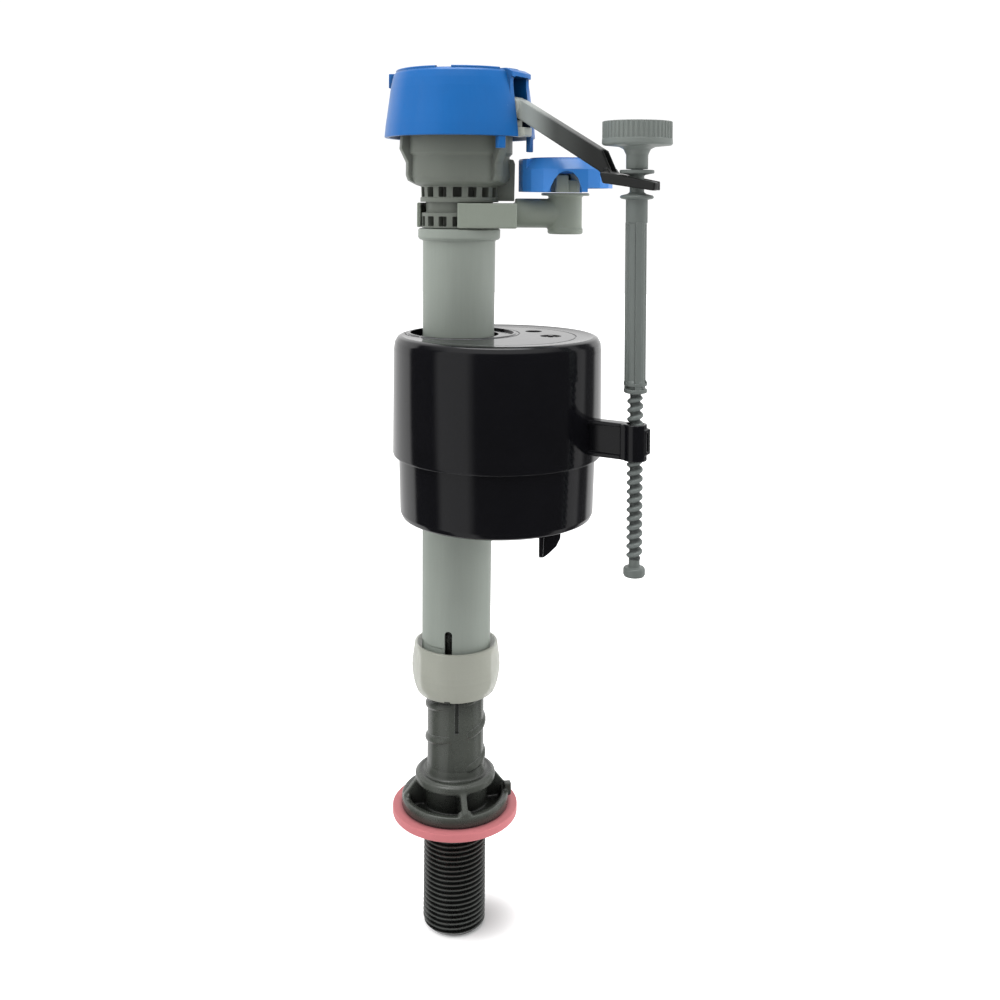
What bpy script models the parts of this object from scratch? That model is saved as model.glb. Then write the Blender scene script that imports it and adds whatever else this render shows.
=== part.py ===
"""Toilet fill valve: a float-operated water valve that stands in a cistern.

Frame: origin on the shank's axis at the tank-seat plane (underside of the
shank washer), +Z up, +X towards the lever, the adjusting rod and the float.
All dimensions are in millimetres and are scaled to metres by MM. Angles are
in degrees about +Z, measured from +X.
"""

import math

import bmesh
import bpy
from mathutils import Matrix, Vector

MM = 0.001

# Facets round a turned piece or cylinder
BIG = 32
WIDE = 24
MID = 20
SMALL = 16
TINY = 12
SHARP_ANGLE = 32          # edges steeper than this are shaded sharp

# ---- Driving dimensions shared between pieces -------------------------------
RISER_R = 10.85
TUBE_TOP = 225.0
BODY_TOP = 262.0          # rim of the valve body's cup
METERING_HOLE_R = 0.95    # hole on the axis in the diaphragm core and pilot plate

ELBOW_AZ = 33.0           # direction of the refill elbow
SPIGOT_U = 41.2           # spigot axis from the tube axis

PIVOT_X = 25.0            # lever pin axis, parallel to Y
PIVOT_Z = 271.0
PIN_R = 1.2
PIN_CLEARANCE = 0.15
PILOT_X = 19.0            # pilot hole and the seal above it

ROD_X = 74.3              # adjusting rod, knob and the float's clip nut


# ---- Scene ------------------------------------------------------------------
for old in list(bpy.data.objects):
    bpy.data.objects.remove(old, do_unlink=True)

parts = bpy.data.collections.new("toilet_fill_valve")
bpy.context.scene.collection.children.link(parts)
helpers = bpy.data.collections.new("cutters")
bpy.context.scene.collection.children.link(helpers)
helpers.hide_render = True


# ---- Helpers ----------------------------------------------------------------
def material(name, colour, roughness, metallic=0.0):
    mat = bpy.data.materials.new(name)
    mat.use_nodes = True
    bsdf = mat.node_tree.nodes["Principled BSDF"]
    bsdf.inputs["Base Color"].default_value = (*colour, 1.0)
    bsdf.inputs["Roughness"].default_value = roughness
    bsdf.inputs["Metallic"].default_value = metallic
    mat.diffuse_color = (*colour, 1.0)
    return mat


def place(name, mesh, mat=None, location=(0, 0, 0)):
    """Links a mesh as a part, or as a hidden helper where it has no material."""
    obj = bpy.data.objects.new(name, mesh)
    obj.location = Vector(location) * MM
    if mat is None:
        helpers.objects.link(obj)
        obj.hide_render = True
        obj.display_type = "WIRE"
    else:
        parts.objects.link(obj)
        mesh.materials.append(mat)
    return obj


def from_bmesh(name, bm, mat=None, location=(0, 0, 0)):
    mesh = bpy.data.meshes.new(name)
    bm.to_mesh(mesh)
    bm.free()
    return place(name, mesh, mat, location)


def turned(name, profile, mat=None, location=(0, 0, 0), steps=BIG):
    """A profile of (r, z) points turned about Z with a Screw modifier.

    A profile that starts and ends on the axis is open; any other is closed.
    """
    # The winding sets which way the turned faces point.
    area = 0.0
    for (r0, z0), (r1, z1) in zip(profile, profile[1:] + profile[:1]):
        area += r0 * z1 - r1 * z0
    points = profile if area < 0 else profile[::-1]
    verts = [(r * MM, 0, z * MM) for r, z in points]
    edges = [(i, i + 1) for i in range(len(points) - 1)]
    on_axis = points[0][0] == 0 and points[-1][0] == 0
    if not on_axis:
        edges.append((len(points) - 1, 0))
    mesh = bpy.data.meshes.new(name)
    mesh.from_pydata(verts, edges, [])
    obj = place(name, mesh, mat, location)
    screw = obj.modifiers.new("Turn", "SCREW")
    screw.axis = "Z"
    screw.steps = steps
    screw.render_steps = steps
    screw.use_merge_vertices = True
    screw.merge_threshold = 0.00001
    screw.use_smooth_shade = False
    return obj


def boxes(name, low, high, turns, location=(0, 0, 0)):
    """One helper mesh holding a copy of a box at each turn about Z."""
    low, high = Vector(low), Vector(high)
    bm = bmesh.new()
    for turn in turns:
        matrix = (
            Matrix.Rotation(math.radians(turn), 4, "Z")
            @ Matrix.Translation((low + high) / 2 * MM)
            @ Matrix.Diagonal(((high - low) * MM).to_4d())
        )
        bmesh.ops.create_cube(bm, size=1.0, matrix=matrix)
    return from_bmesh(name, bm, location=location)


def box(name, low, high, turn=0.0, location=(0, 0, 0)):
    """A helper box between two corners, turned about Z."""
    return boxes(name, low, high, [turn], location)


def cylinder(name, radius, start, end, mat=None, steps=SMALL):
    """A cylinder between two points."""
    start, end = Vector(start) * MM, Vector(end) * MM
    along = end - start
    bm = bmesh.new()
    bmesh.ops.create_cone(
        bm,
        cap_ends=True,
        segments=steps,
        radius1=radius * MM,
        radius2=radius * MM,
        depth=along.length,
        matrix=Matrix.Translation((start + end) / 2)
        @ along.to_track_quat("Z", "Y").to_matrix().to_4x4(),
    )
    return from_bmesh(name, bm, mat)


def upright(name, radius, z_low, z_high, x=0, steps=BIG):
    """A vertical helper cylinder on the XZ plane."""
    return cylinder(name, radius, (x, 0, z_low), (x, 0, z_high), steps=steps)


def on_pivot(name, radius, half_length, mat=None, steps=SMALL):
    """A cylinder along the lever's pivot axis."""
    return cylinder(
        name, radius, (PIVOT_X, -half_length, PIVOT_Z), (PIVOT_X, half_length, PIVOT_Z),
        mat, steps)


def plate(name, outline, y_low, y_high, mat=None, turn=0.0, location=(0, 0, 0)):
    """An outline of (x, z) points extruded along Y, then turned about Z and moved."""
    curve = bpy.data.curves.new(name, "CURVE")
    curve.dimensions = "2D"
    curve.fill_mode = "BOTH"
    curve.extrude = (y_high - y_low) / 2 * MM
    spline = curve.splines.new("POLY")
    spline.points.add(len(outline) - 1)
    for point, (x, z) in zip(spline.points, outline):
        point.co = (x * MM, z * MM, 0, 1)
    spline.use_cyclic_u = True
    flat = bpy.data.objects.new(name + "_outline", curve)
    parts.objects.link(flat)
    flat.rotation_euler.x = math.radians(90)
    flat.location.y = (y_low + y_high) / 2 * MM
    bpy.context.view_layer.update()
    graph = bpy.context.evaluated_depsgraph_get()
    mesh = bpy.data.meshes.new_from_object(flat.evaluated_get(graph))
    mesh.name = name
    # The curve's caps and sides come unjoined: weld them into one solid.
    bm = bmesh.new()
    bm.from_mesh(mesh)
    bmesh.ops.remove_doubles(bm, verts=bm.verts, dist=0.000001)
    bmesh.ops.recalc_face_normals(bm, faces=bm.faces)
    bm.to_mesh(mesh)
    bm.free()
    obj = place(name, mesh, mat)
    obj.matrix_world = (
        Matrix.Translation(Vector(location) * MM)
        @ Matrix.Rotation(math.radians(turn), 4, "Z")
        @ flat.matrix_world
    )
    bpy.data.objects.remove(flat, do_unlink=True)
    return obj


def boolean(obj, other, operation):
    step = obj.modifiers.new(operation.title(), "BOOLEAN")
    step.operation = operation
    step.object = other
    step.solver = "EXACT"


def cut(obj, other):
    boolean(obj, other, "DIFFERENCE")


def join(obj, other):
    boolean(obj, other, "UNION")


def polar(radius, degrees, z=0.0):
    angle = math.radians(degrees)
    return (radius * math.cos(angle), radius * math.sin(angle), z)


def arc(centre_r, centre_z, radius, start, end, count):
    """Points of an arc in a profile or outline, from start to end in degrees."""
    points = []
    for i in range(count + 1):
        along, up, _ = polar(radius, start + (end - start) * i / count)
        points.append((centre_r + along, centre_z + up))
    return points


# ---- Materials --------------------------------------------------------------
shank_black = material("shank_plastic", colour=(0.085, 0.093, 0.085), roughness=0.45)
washer_red = material("washer_rubber", colour=(0.55, 0.12, 0.14), roughness=0.6)
seal_black = material("seal_rubber", colour=(0.02, 0.02, 0.02), roughness=0.7)
tube_grey = material("tube_plastic", colour=(0.25, 0.27, 0.25), roughness=0.4)
ring_white = material("lock_ring_plastic", colour=(0.55, 0.56, 0.52), roughness=0.35)
cap_blue = material("cap_plastic", colour=(0.01, 0.13, 0.5), roughness=0.35)
lever_grey = material("lever_plastic", colour=(0.12, 0.125, 0.115), roughness=0.4)
rod_grey = material("rod_plastic", colour=(0.16, 0.18, 0.17), roughness=0.45)
float_black = material("float_plastic", colour=(0.008, 0.008, 0.01), roughness=0.15)
pin_steel = material("pin_steel", colour=(0.6, 0.6, 0.6), roughness=0.3, metallic=1.0)

# In the tables below, every PROFILE is a list of (r, z) points for turned(),
# and every OUTLINE a list of (x, z) points for plate().

# ---- Shank with its riser ---------------------------------------------------
THREAD_R = 11.95          # 15/16-14 ballcock thread, major radius
SHANK_BOTTOM = -42.8
INLET_R = 6.5
RISER_TOP = 125.0
RISER_BORE_R = 8.8
GROOVE_R = 9.7            # groove for the riser seal
GROOVE_BOTTOM = 118.0
GROOVE_TOP = 121.0
FLANGE_R = 20.5
FLANGE_BOTTOM = 3.1

SHANK_PROFILE = [
    (RISER_R, RISER_TOP), (RISER_R, 19.6), (11.9, 18.0), (13.7, 16.2),
    (15.0, 15.7), (15.4, 15.2), (15.4, 13.2), (FLANGE_R, 8.4),
    (FLANGE_R, FLANGE_BOTTOM), (THREAD_R, FLANGE_BOTTOM),
    (THREAD_R, SHANK_BOTTOM + 3.0), (10.7, SHANK_BOTTOM + 1.4),
    (10.2, SHANK_BOTTOM), (INLET_R, SHANK_BOTTOM), (INLET_R, 12.0),
    (RISER_BORE_R, 14.0), (RISER_BORE_R, GROOVE_BOTTOM), (GROOVE_R, GROOVE_BOTTOM),
    (GROOVE_R, GROOVE_TOP), (RISER_BORE_R, GROOVE_TOP), (RISER_BORE_R, RISER_TOP),
]
shank = turned("shank", SHANK_PROFILE, shank_black)

# Four pockets in the conical skirt leave four radial ribs.
POCKET_BOTTOM = 7.1
POCKET_TOP = 12.3
POCKET_INNER_R = 12.7
POCKET_OUTER_R = 26.0
POCKET_FIRST_AZ = -4.0
POCKET_HALF_ANGLE = 39.0


def skirt_pockets(count=4):
    bm = bmesh.new()
    for k in range(count):
        centre = POCKET_FIRST_AZ + 360.0 / count * k
        sweep = [centre + POCKET_HALF_ANGLE * t for t in (-1.0, -0.5, 0.0, 0.5, 1.0)]
        ring = [polar(POCKET_INNER_R, az) for az in sweep]
        ring += [polar(POCKET_OUTER_R, az) for az in reversed(sweep)]
        face = bm.faces.new(
            [bm.verts.new((x * MM, y * MM, POCKET_BOTTOM * MM)) for x, y, _ in ring]
        )
        raised = bmesh.ops.extrude_face_region(bm, geom=[face])
        bmesh.ops.translate(
            bm,
            vec=(0, 0, (POCKET_TOP - POCKET_BOTTOM) * MM),
            verts=[v for v in raised["geom"] if isinstance(v, bmesh.types.BMVert)],
        )
    bmesh.ops.recalc_face_normals(bm, faces=bm.faces)
    return from_bmesh("skirt_pockets", bm)


cut(shank, skirt_pockets())
# Anti-turn lug at the edge of the flange.
join(shank, box("flange_lug", (19.0, -1.5, 4.6), (21.9, 1.5, 9.4), turn=37.0))

# Strainer spider in the bore: a hub standing on the seat plane, and spokes.
STRAINER_TOP = 3.0
join(shank, upright("strainer_hub", 2.4, 0, STRAINER_TOP, steps=SMALL))
for k in range(3):
    join(shank, box(f"strainer_spoke_{k}", (1.5, -0.7, 0.8), (7.2, 0.7, STRAINER_TOP),
                    turn=90.0 + 120.0 * k))

# Coarse height-adjusting thread, right-handed, in one interrupted run per turn.
HELIX_PITCH = 12.8
HELIX_Z = 33.8 - HELIX_PITCH   # ridge centre at angle 0 of the first run
RIDGE_COUNT = 7
RIDGE_START = -34.0
RIDGE_SWEEP = 320.0            # leaves a 40 degree channel, centred on -54
RIDGE_STEPS = 10
RIDGE_ROOT = 0.6               # depth sunk into the riser
RIDGE_CREST = 0.55             # crest width over root width
# Height above the riser and half width at the root
RIDGE_MIDDLE = (1.0, 1.6)
RIDGE_TIP = (0.25, 0.9)


def helix_ridge(name, start):
    """One run of the coarse thread: a ridge with small ends."""
    bm = bmesh.new()
    rings = []
    for i in range(RIDGE_STEPS + 1):
        angle = start + RIDGE_SWEEP * i / RIDGE_STEPS
        z = HELIX_Z + HELIX_PITCH * angle / 360.0
        height, half = RIDGE_TIP if i in (0, RIDGE_STEPS) else RIDGE_MIDDLE
        root_r = RISER_R - RIDGE_ROOT
        crest_r = RISER_R + height
        section = [
            (root_r, z - half), (crest_r, z - half * RIDGE_CREST),
            (crest_r, z + half * RIDGE_CREST), (root_r, z + half),
        ]
        rings.append([
            bm.verts.new(Vector(polar(r, angle, height_z)) * MM) for r, height_z in section
        ])
    for this, following in zip(rings, rings[1:]):
        for j in range(4):
            after = (j + 1) % 4
            bm.faces.new((this[j], this[after], following[after], following[j]))
    bm.faces.new(rings[0][::-1])
    bm.faces.new(rings[-1])
    bmesh.ops.recalc_face_normals(bm, faces=bm.faces)
    return from_bmesh(name, bm)


for k in range(RIDGE_COUNT):
    join(shank, helix_ridge(f"riser_ridge_{k}", RIDGE_START + 360.0 * k))

# ---- Washer, restrictor and seal on the shank -------------------------------
WASHER_PROFILE = [
    (20.9, 2.8), (23.3, 2.2), (24.0, 1.4), (24.0, 0.5), (23.5, 0.0), (12.2, 0.0), (12.2, 2.8),
]
turned("shank_washer", WASHER_PROFILE, washer_red)

RESTRICTOR_PROFILE = [
    (6.2, -31.0), (6.2, -40.5), (5.9, -41.0), (4.6, -41.0), (4.6, -34.0),
    (1.6, -33.4), (1.6, -31.0),
]
turned("flow_restrictor", RESTRICTOR_PROFILE, tube_grey, steps=SMALL)

RISER_SEAL_PROFILE = [
    (8.6, 120.7), (9.2, 120.5), (9.4, 120.0), (9.4, 119.0), (9.2, 118.5),
    (8.6, 118.3), (8.15, 118.7), (8.05, 119.5), (8.15, 120.3),
]
turned("riser_seal", RISER_SEAL_PROFILE, seal_black, steps=MID)

# ---- Lock ring --------------------------------------------------------------
LOCK_RING_PROFILE = [
    (15.6, 65.5), (15.9, 65.2), (16.3, 62.4), (16.7, 59.3), (17.0, 56.4),
    (16.7, 54.0), (16.2, 51.5), (15.6, 49.2), (15.0, 47.5), (14.4, 46.9),
    (13.6, 46.9), (13.6, 65.5),
]
turned("lock_ring", LOCK_RING_PROFILE, ring_white)

# ---- Outer tube -------------------------------------------------------------
TUBE_BOTTOM = 47.3
TUBE_LOW_R = 13.2
TUBE_TOP_R = 14.0         # just under the collar
TUBE_BORE_R = 12.2
TUBE_COLLAR_R = 15.9
SLOT_W = 2.9
SLOT_INNER_R = 9.0        # reach of the slot cutters
SLOT_OUTER_R = 17.0
SLOT_END_Z = 73.3 - SLOT_W / 2   # centre of the slot's round end

OUTER_TUBE_PROFILE = [
    (TUBE_COLLAR_R, TUBE_TOP), (TUBE_COLLAR_R, 221.2), (15.5, 220.8),
    (TUBE_TOP_R, 220.4), (TUBE_LOW_R, 68.0), (TUBE_LOW_R, TUBE_BOTTOM),
    (TUBE_BORE_R, TUBE_BOTTOM), (TUBE_BORE_R, TUBE_TOP),
]
outer_tube = turned("outer_tube", OUTER_TUBE_PROFILE, tube_grey)
# Slots that let the tube's end be squeezed by the lock ring.
for k, az in enumerate((-71.0, 109.0)):
    cut(outer_tube, box(
        f"tube_slot_{k}", (SLOT_INNER_R, -SLOT_W / 2, 40.0),
        (SLOT_OUTER_R, SLOT_W / 2, SLOT_END_Z), turn=az))
    cut(outer_tube, cylinder(
        f"tube_slot_end_{k}", SLOT_W / 2, polar(SLOT_INNER_R, az, SLOT_END_Z),
        polar(SLOT_OUTER_R, az, SLOT_END_Z)))

# ---- Inner pipe that feeds the valve body -----------------------------------
SUPPLY_R = 7.8
SUPPLY_BORE_R = 6.0
SUPPLY_BOTTOM = 48.0
SUPPLY_TOP = 240.7

SUPPLY_PROFILE = [
    (SUPPLY_R, SUPPLY_TOP), (SUPPLY_R, 49.0), (7.3, SUPPLY_BOTTOM),
    (SUPPLY_BORE_R, SUPPLY_BOTTOM), (SUPPLY_BORE_R, SUPPLY_TOP),
]
turned("supply_tube", SUPPLY_PROFILE, tube_grey, steps=MID)

# ---- Valve body -------------------------------------------------------------
VALVE_BODY_PROFILE = [
    # outside, from the cup's rim down to the neck in the tube
    (20.4, BODY_TOP), (20.4, 253.4), (19.6, 252.7), (19.6, 244.8),
    (18.6, 242.8), (16.8, 241.8), (14.9, 241.2), (14.7, 237.0),
    (15.1, 236.8), (15.1, 235.3), (12.9, 235.3), (12.9, 231.2),
    (14.6, 231.2), (14.5, 225.3), (11.9, 225.3), (11.9, 216.0),
    # inside, up the cage, the socket for the inner pipe and the seat
    (10.3, 216.0), (10.3, 225.0), (11.0, 226.0), (11.0, 243.0),
    (9.8, 243.0), (9.8, 234.0), (8.1, 234.0), (8.1, 241.0),
    (5.5, 241.0), (5.5, 260.6), (6.6, 260.6), (7.2, 259.6),
    (8.2, 246.2), (17.6, 246.2), (18.4, 247.0), (18.4, BODY_TOP),
]
valve_body = turned("valve_body", VALVE_BODY_PROFILE, tube_grey)

# Cage windows, upper and lower row, with the spokes between them.
CAGE_WINDOWS = 16
WINDOW_PHASE = 0.27       # first window's angle, in window pitches
WINDOW_ROWS = ((237.2, 240.9), (225.9, 229.7))   # z low, z high
window_turns = [360.0 * (k + WINDOW_PHASE) / CAGE_WINDOWS for k in range(CAGE_WINDOWS)]
for row, (low, high) in enumerate(WINDOW_ROWS):
    cut(valve_body, boxes(
        f"cage_windows_{row}", (10.4, -1.7, low), (16.5, 1.7, high), window_turns))
# Outlets in the floor between the cup and the outer tube.
cut(valve_body, boxes(
    "floor_outlets", (9.9, -1.6, 242.0), (13.6, 1.6, 247.0),
    [45.0 * k + 20.0 for k in range(8)]))

# Three bayonet ribs that the cap's skirt locks on.
BAYONET_OUTLINE = [
    (19.0, 261.4), (23.5, 261.4), (23.5, 255.2), (20.9, 250.1), (20.9, 245.4),
    (20.1, 243.6), (18.4, 242.6), (17.4, 243.6), (19.0, 246.0),
]
for k, az in enumerate((-133.0, -13.0, 107.0)):
    join(valve_body, plate(f"bayonet_rib_{k}", BAYONET_OUTLINE, -2.2, 2.2, turn=az))

# Pillar above the refill outlet, and the outlet itself.
PILLAR_OUTLINE = [
    (14.0, 235.6), (21.3, 235.6), (21.3, 250.4), (20.7, 251.6), (18.9, 251.6),
    (18.9, 243.6), (17.4, 242.9), (17.1, 238.0), (16.2, 236.7), (14.0, 236.5),
]
PORT_Z = 233.1
join(valve_body, plate("outlet_pillar", PILLAR_OUTLINE, -3.2, 3.2, turn=ELBOW_AZ))
cut(valve_body, cylinder(
    "refill_port", 1.9, polar(10.2, ELBOW_AZ, PORT_Z), polar(14.0, ELBOW_AZ, PORT_Z)))

# ---- Refill elbow: a C clip round the body, an elbow and its spigot ---------
SPIGOT = polar(SPIGOT_U, ELBOW_AZ)
CLIP_BOTTOM = 225.4
CLIP_TOP = 234.9
CLIP_BORE_R = 14.9
CLIP_R = 16.4
MOUTH_CENTRE = (-11.2, -11.2, 230.0)
MOUTH_W = 20.4
MOUTH_H = 30
ELBOW_Z = 231.1
ELBOW_R = 5.7
ELBOW_BORE_R = 3.6
SPIGOT_TOP = 239.0
SPIGOT_BOTTOM = 223.0
WEB_BOTTOM = 238.0
WEB_END = 36.0

CLIP_PROFILE = [
    (CLIP_R, CLIP_TOP), (CLIP_R, CLIP_BOTTOM), (CLIP_BORE_R, CLIP_BOTTOM), (CLIP_BORE_R, CLIP_TOP),
]
SPIGOT_PROFILE = [
    (0, SPIGOT_TOP), (9.4, SPIGOT_TOP), (9.4, 237.9), (6.5, 237.9), (6.5, 225.4),
    (6.9, 225.0), (6.9, 223.6), (6.3, SPIGOT_BOTTOM), (0, SPIGOT_BOTTOM),
]


def clip_mouth():
    """A square block at 225 degrees from the elbow, on the side away from it."""
    bm = bmesh.new()
    matrix = (
        Matrix.Rotation(math.radians(ELBOW_AZ), 4, "Z")
        @ Matrix.Translation(Vector(MOUTH_CENTRE) * MM)
        @ Matrix.Diagonal((MOUTH_W * MM, MOUTH_W * MM, MOUTH_H * MM, 1.0))
    )
    bmesh.ops.create_cube(bm, size=1.0, matrix=matrix)
    return from_bmesh("clip_mouth", bm)


refill_elbow = turned("refill_elbow", CLIP_PROFILE, tube_grey)
join(refill_elbow, box(
    "clip_block", (-1.0, -16.3, CLIP_BOTTOM), (21.3, 9.0, CLIP_TOP), turn=ELBOW_AZ))
cut(refill_elbow, upright("clip_bore", CLIP_BORE_R, 220, 240))
cut(refill_elbow, clip_mouth())
join(refill_elbow, cylinder(
    "elbow_tube", ELBOW_R, polar(17.5, ELBOW_AZ, ELBOW_Z), polar(SPIGOT_U, ELBOW_AZ, ELBOW_Z)))
cut(refill_elbow, box(
    "pillar_clearance", (10.0, -6.5, CLIP_TOP), (21.65, 6.5, 242.0), turn=ELBOW_AZ))
join(refill_elbow, turned("elbow_spigot", SPIGOT_PROFILE, location=SPIGOT, steps=MID))
join(refill_elbow, box(
    "elbow_web", (22.2, -5.0, WEB_BOTTOM), (WEB_END, 5.0, SPIGOT_TOP), turn=ELBOW_AZ))
join(refill_elbow, box(
    "elbow_web_rib", (21.7, -0.9, 231.0), (WEB_END, 0.9, 238.6), turn=ELBOW_AZ))
cut(refill_elbow, cylinder(
    "elbow_bore", ELBOW_BORE_R, polar(14.0, ELBOW_AZ, ELBOW_Z),
    polar(SPIGOT_U, ELBOW_AZ, ELBOW_Z), steps=TINY))
cut(refill_elbow, cylinder(
    "spigot_bore", ELBOW_BORE_R, polar(SPIGOT_U, ELBOW_AZ, 227.5),
    polar(SPIGOT_U, ELBOW_AZ, 242.0), steps=TINY))

# ---- Refill nozzle ----------------------------------------------------------
NOZZLE_AZ = -64.0
NOZZLE_Z = 242.6          # axis of the side bore
NOZZLE_BOTTOM = 239.3

NOZZLE_PROFILE = [
    (5.6, 246.5), (5.6, NOZZLE_BOTTOM), (3.4, NOZZLE_BOTTOM),
    (3.4, 244.6), (2.0, 245.2), (2.0, 246.5),
]
refill_nozzle = turned("refill_nozzle", NOZZLE_PROFILE, tube_grey, location=SPIGOT, steps=WIDE)
join(refill_nozzle, box(
    "nozzle_block", (3.8, -3.0, NOZZLE_BOTTOM), (12.5, 3.0, 245.6), turn=NOZZLE_AZ,
    location=SPIGOT))
cut(refill_nozzle, cylinder(
    "nozzle_bore", 1.7, Vector(SPIGOT) + Vector(polar(2.0, NOZZLE_AZ, NOZZLE_Z)),
    Vector(SPIGOT) + Vector(polar(14.0, NOZZLE_AZ, NOZZLE_Z))))

# ---- Refill dial ------------------------------------------------------------
DIAL_R = 18.4
DIAL_BOTTOM = 239.3
DIAL_TURN = 30.0          # turns both cutters in the dial's skirt

DIAL_PROFILE = [
    (2.4, 252.5), (14.0, 252.5), (14.0, 252.0), (15.4, 252.0), (18.2, 248.4),
    (DIAL_R, 248.0), (DIAL_R, DIAL_BOTTOM), (16.6, DIAL_BOTTOM), (16.6, 247.6),
    (14.6, 249.8), (2.4, 249.8),
]
DIAL_ARCH_OUTLINE = [
    (-6.4, 236.0), (6.4, 236.0), (5.9, 241.0), *arc(0, 242.2, 4.9, 0, 180, 8), (-5.9, 241.0),
]
refill_dial = turned("refill_dial", DIAL_PROFILE, cap_blue, location=SPIGOT)
cut(refill_dial, plate(
    "dial_arch", DIAL_ARCH_OUTLINE, -26.0, -10.0, turn=DIAL_TURN, location=SPIGOT))
cut(refill_dial, box(
    "dial_relief", (7.5, -24.0, 236.0), (24.0, 24.0, 240.9), turn=DIAL_TURN, location=SPIGOT))

# ---- Diaphragm and its core -------------------------------------------------
DIAPHRAGM_PROFILE = [(22.0, 263.8), (22.0, 262.3), (9.0, 262.3), (9.0, 263.8)]
turned("diaphragm", DIAPHRAGM_PROFILE, seal_black)

CORE_PROFILE = [
    (8.6, 263.7), (8.6, 262.1), (5.0, 262.0), (4.6, 258.0),
    (METERING_HOLE_R, 258.0), (METERING_HOLE_R, 263.7),
]
turned("diaphragm_core", CORE_PROFILE, tube_grey, steps=MID)

# ---- Cap --------------------------------------------------------------------
CAP_TOP = 285.6
CAP_RIM = 259.8
MOUTH_TOP = 282.4         # underside of the roof over the lever
CHEEK_INNER_Y = 4.5
CHEEK_OUTER_Y = 7.2

CAP_PROFILE = [
    (0, CAP_TOP), (24.6, CAP_TOP), (25.6, 284.9), (26.5, 281.0), (27.2, 277.3),
    (27.7, 272.6), (28.4, 267.6), (29.2, CAP_RIM), (27.3, CAP_RIM), (26.5, 267.4),
    (25.8, 272.6), (24.8, 281.0), (24.2, 283.4), (0, 283.4),
]
CHEEK_OUTLINE = [
    (17.5, 266.9), (22.9, 266.9), (22.9, 262.4), (26.4, 262.4), (26.4, 284.4), (17.5, 284.4),
]
cap = turned("cap", CAP_PROFILE, cap_blue)
# Cheeks that carry the lever pin (near is -Y), and the roof over the lever.
join(cap, plate("cheek_near", CHEEK_OUTLINE, -CHEEK_OUTER_Y, -CHEEK_INNER_Y))
join(cap, plate("cheek_far", CHEEK_OUTLINE, CHEEK_INNER_Y, CHEEK_OUTER_Y))
join(cap, box(
    "lever_roof", (20.0, -CHEEK_OUTER_Y, MOUTH_TOP), (27.3, CHEEK_OUTER_Y, 285.3)))
cut(cap, box("lever_mouth", (16.0, -5.0, 250.0), (40.0, 5.0, MOUTH_TOP)))
join(cap, box("near_tab", (26.9, -1.65, 255.2), (28.7, 1.65, 262.0), turn=-25.3))
join(cap, box("far_tab", (26.2, 5.4, 254.3), (28.0, 8.2, 264.0)))
join(cap, box("grip_fin", (25.2, -2.0, 279.4), (28.2, 2.0, 285.2), turn=-160.0))
cut(cap, on_pivot("cap_pin_hole", PIN_R + PIN_CLEARANCE, 9.0))

# ---- Pilot plate with its tongue --------------------------------------------
PILOT_PLATE_PROFILE = [
    (22.8, 266.5), (22.8, 264.1), (METERING_HOLE_R, 264.1), (METERING_HOLE_R, 266.5),
]
TONGUE_OUTLINE = [
    (20.0, 266.4), (26.0, 266.4), (26.0, 263.4), (30.3, 263.4), (30.3, 260.6),
    (29.6, 259.9), (24.0, 259.9), (24.0, 264.3), (20.0, 264.3),
]
pilot_plate = turned("pilot_plate", PILOT_PLATE_PROFILE, tube_grey)
join(pilot_plate, plate("plate_tongue", TONGUE_OUTLINE, -3.0, 3.0))
cut(pilot_plate, upright("pilot_hole", 0.7, 262.0, 268.0, x=PILOT_X, steps=TINY))

# ---- Metering pin and lever pin ---------------------------------------------
METERING_PIN_PROFILE = [
    (0, 267.8), (1.8, 267.8), (1.8, 266.8), (0.65, 266.8), (0.65, 257.2), (0.4, 256.8),
    (0, 256.8),
]
turned("metering_pin", METERING_PIN_PROFILE, pin_steel, steps=SMALL)
on_pivot("lever_pin", PIN_R - PIN_CLEARANCE, 7.6, pin_steel)

# ---- Lever ------------------------------------------------------------------
LEVER_T = 6.0             # thickness of the lever's bar
FORK_W = 11.0

LEVER_OUTLINE = [
    (17.4, 272.4), (22.4, 275.0), (26.0, 274.9), (29.0, 273.55), (62.2, 254.2),
    (65.8, 246.3), (66.4, 243.0), (63.7, 242.6), (60.7, 246.6),
    (30.2, 264.9), (27.2, 266.5), (23.6, 269.3), (17.4, 269.3),
]
FORK_OUTLINE = [
    (61.8, 246.6), (65.8, 246.2), (83.6, 242.8), (83.1, 239.6), (66.4, 241.9), (63.0, 242.3),
]
lever = plate("lever", LEVER_OUTLINE, -LEVER_T / 2, LEVER_T / 2, lever_grey)
join(lever, on_pivot("lever_hub", 3.4, 4.6, steps=MID))
join(lever, plate("lever_fork", FORK_OUTLINE, -FORK_W / 2, FORK_W / 2))
# A slot round the rod's neck, with a narrower throat out to the fork's tip.
cut(lever, box("fork_slot", (70.8, -2.95, 230.0), (77.8, 2.95, 250.0)))
cut(lever, box("fork_throat", (76.0, -2.2, 230.0), (90.0, 2.2, 250.0)))
cut(lever, on_pivot("lever_pin_bore", PIN_R, 9.0))

PILOT_SEAL_PROFILE = [(0, 269.0), (1.6, 269.0), (1.6, 267.9), (1.4, 267.7), (0, 267.7)]
turned("pilot_seal", PILOT_SEAL_PROFILE, seal_black, location=(PILOT_X, 0, 0), steps=SMALL)

# ---- Adjusting rod and knob -------------------------------------------------
ROD_R = 3.95
ROD_THREAD_R = 2.75

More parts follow.
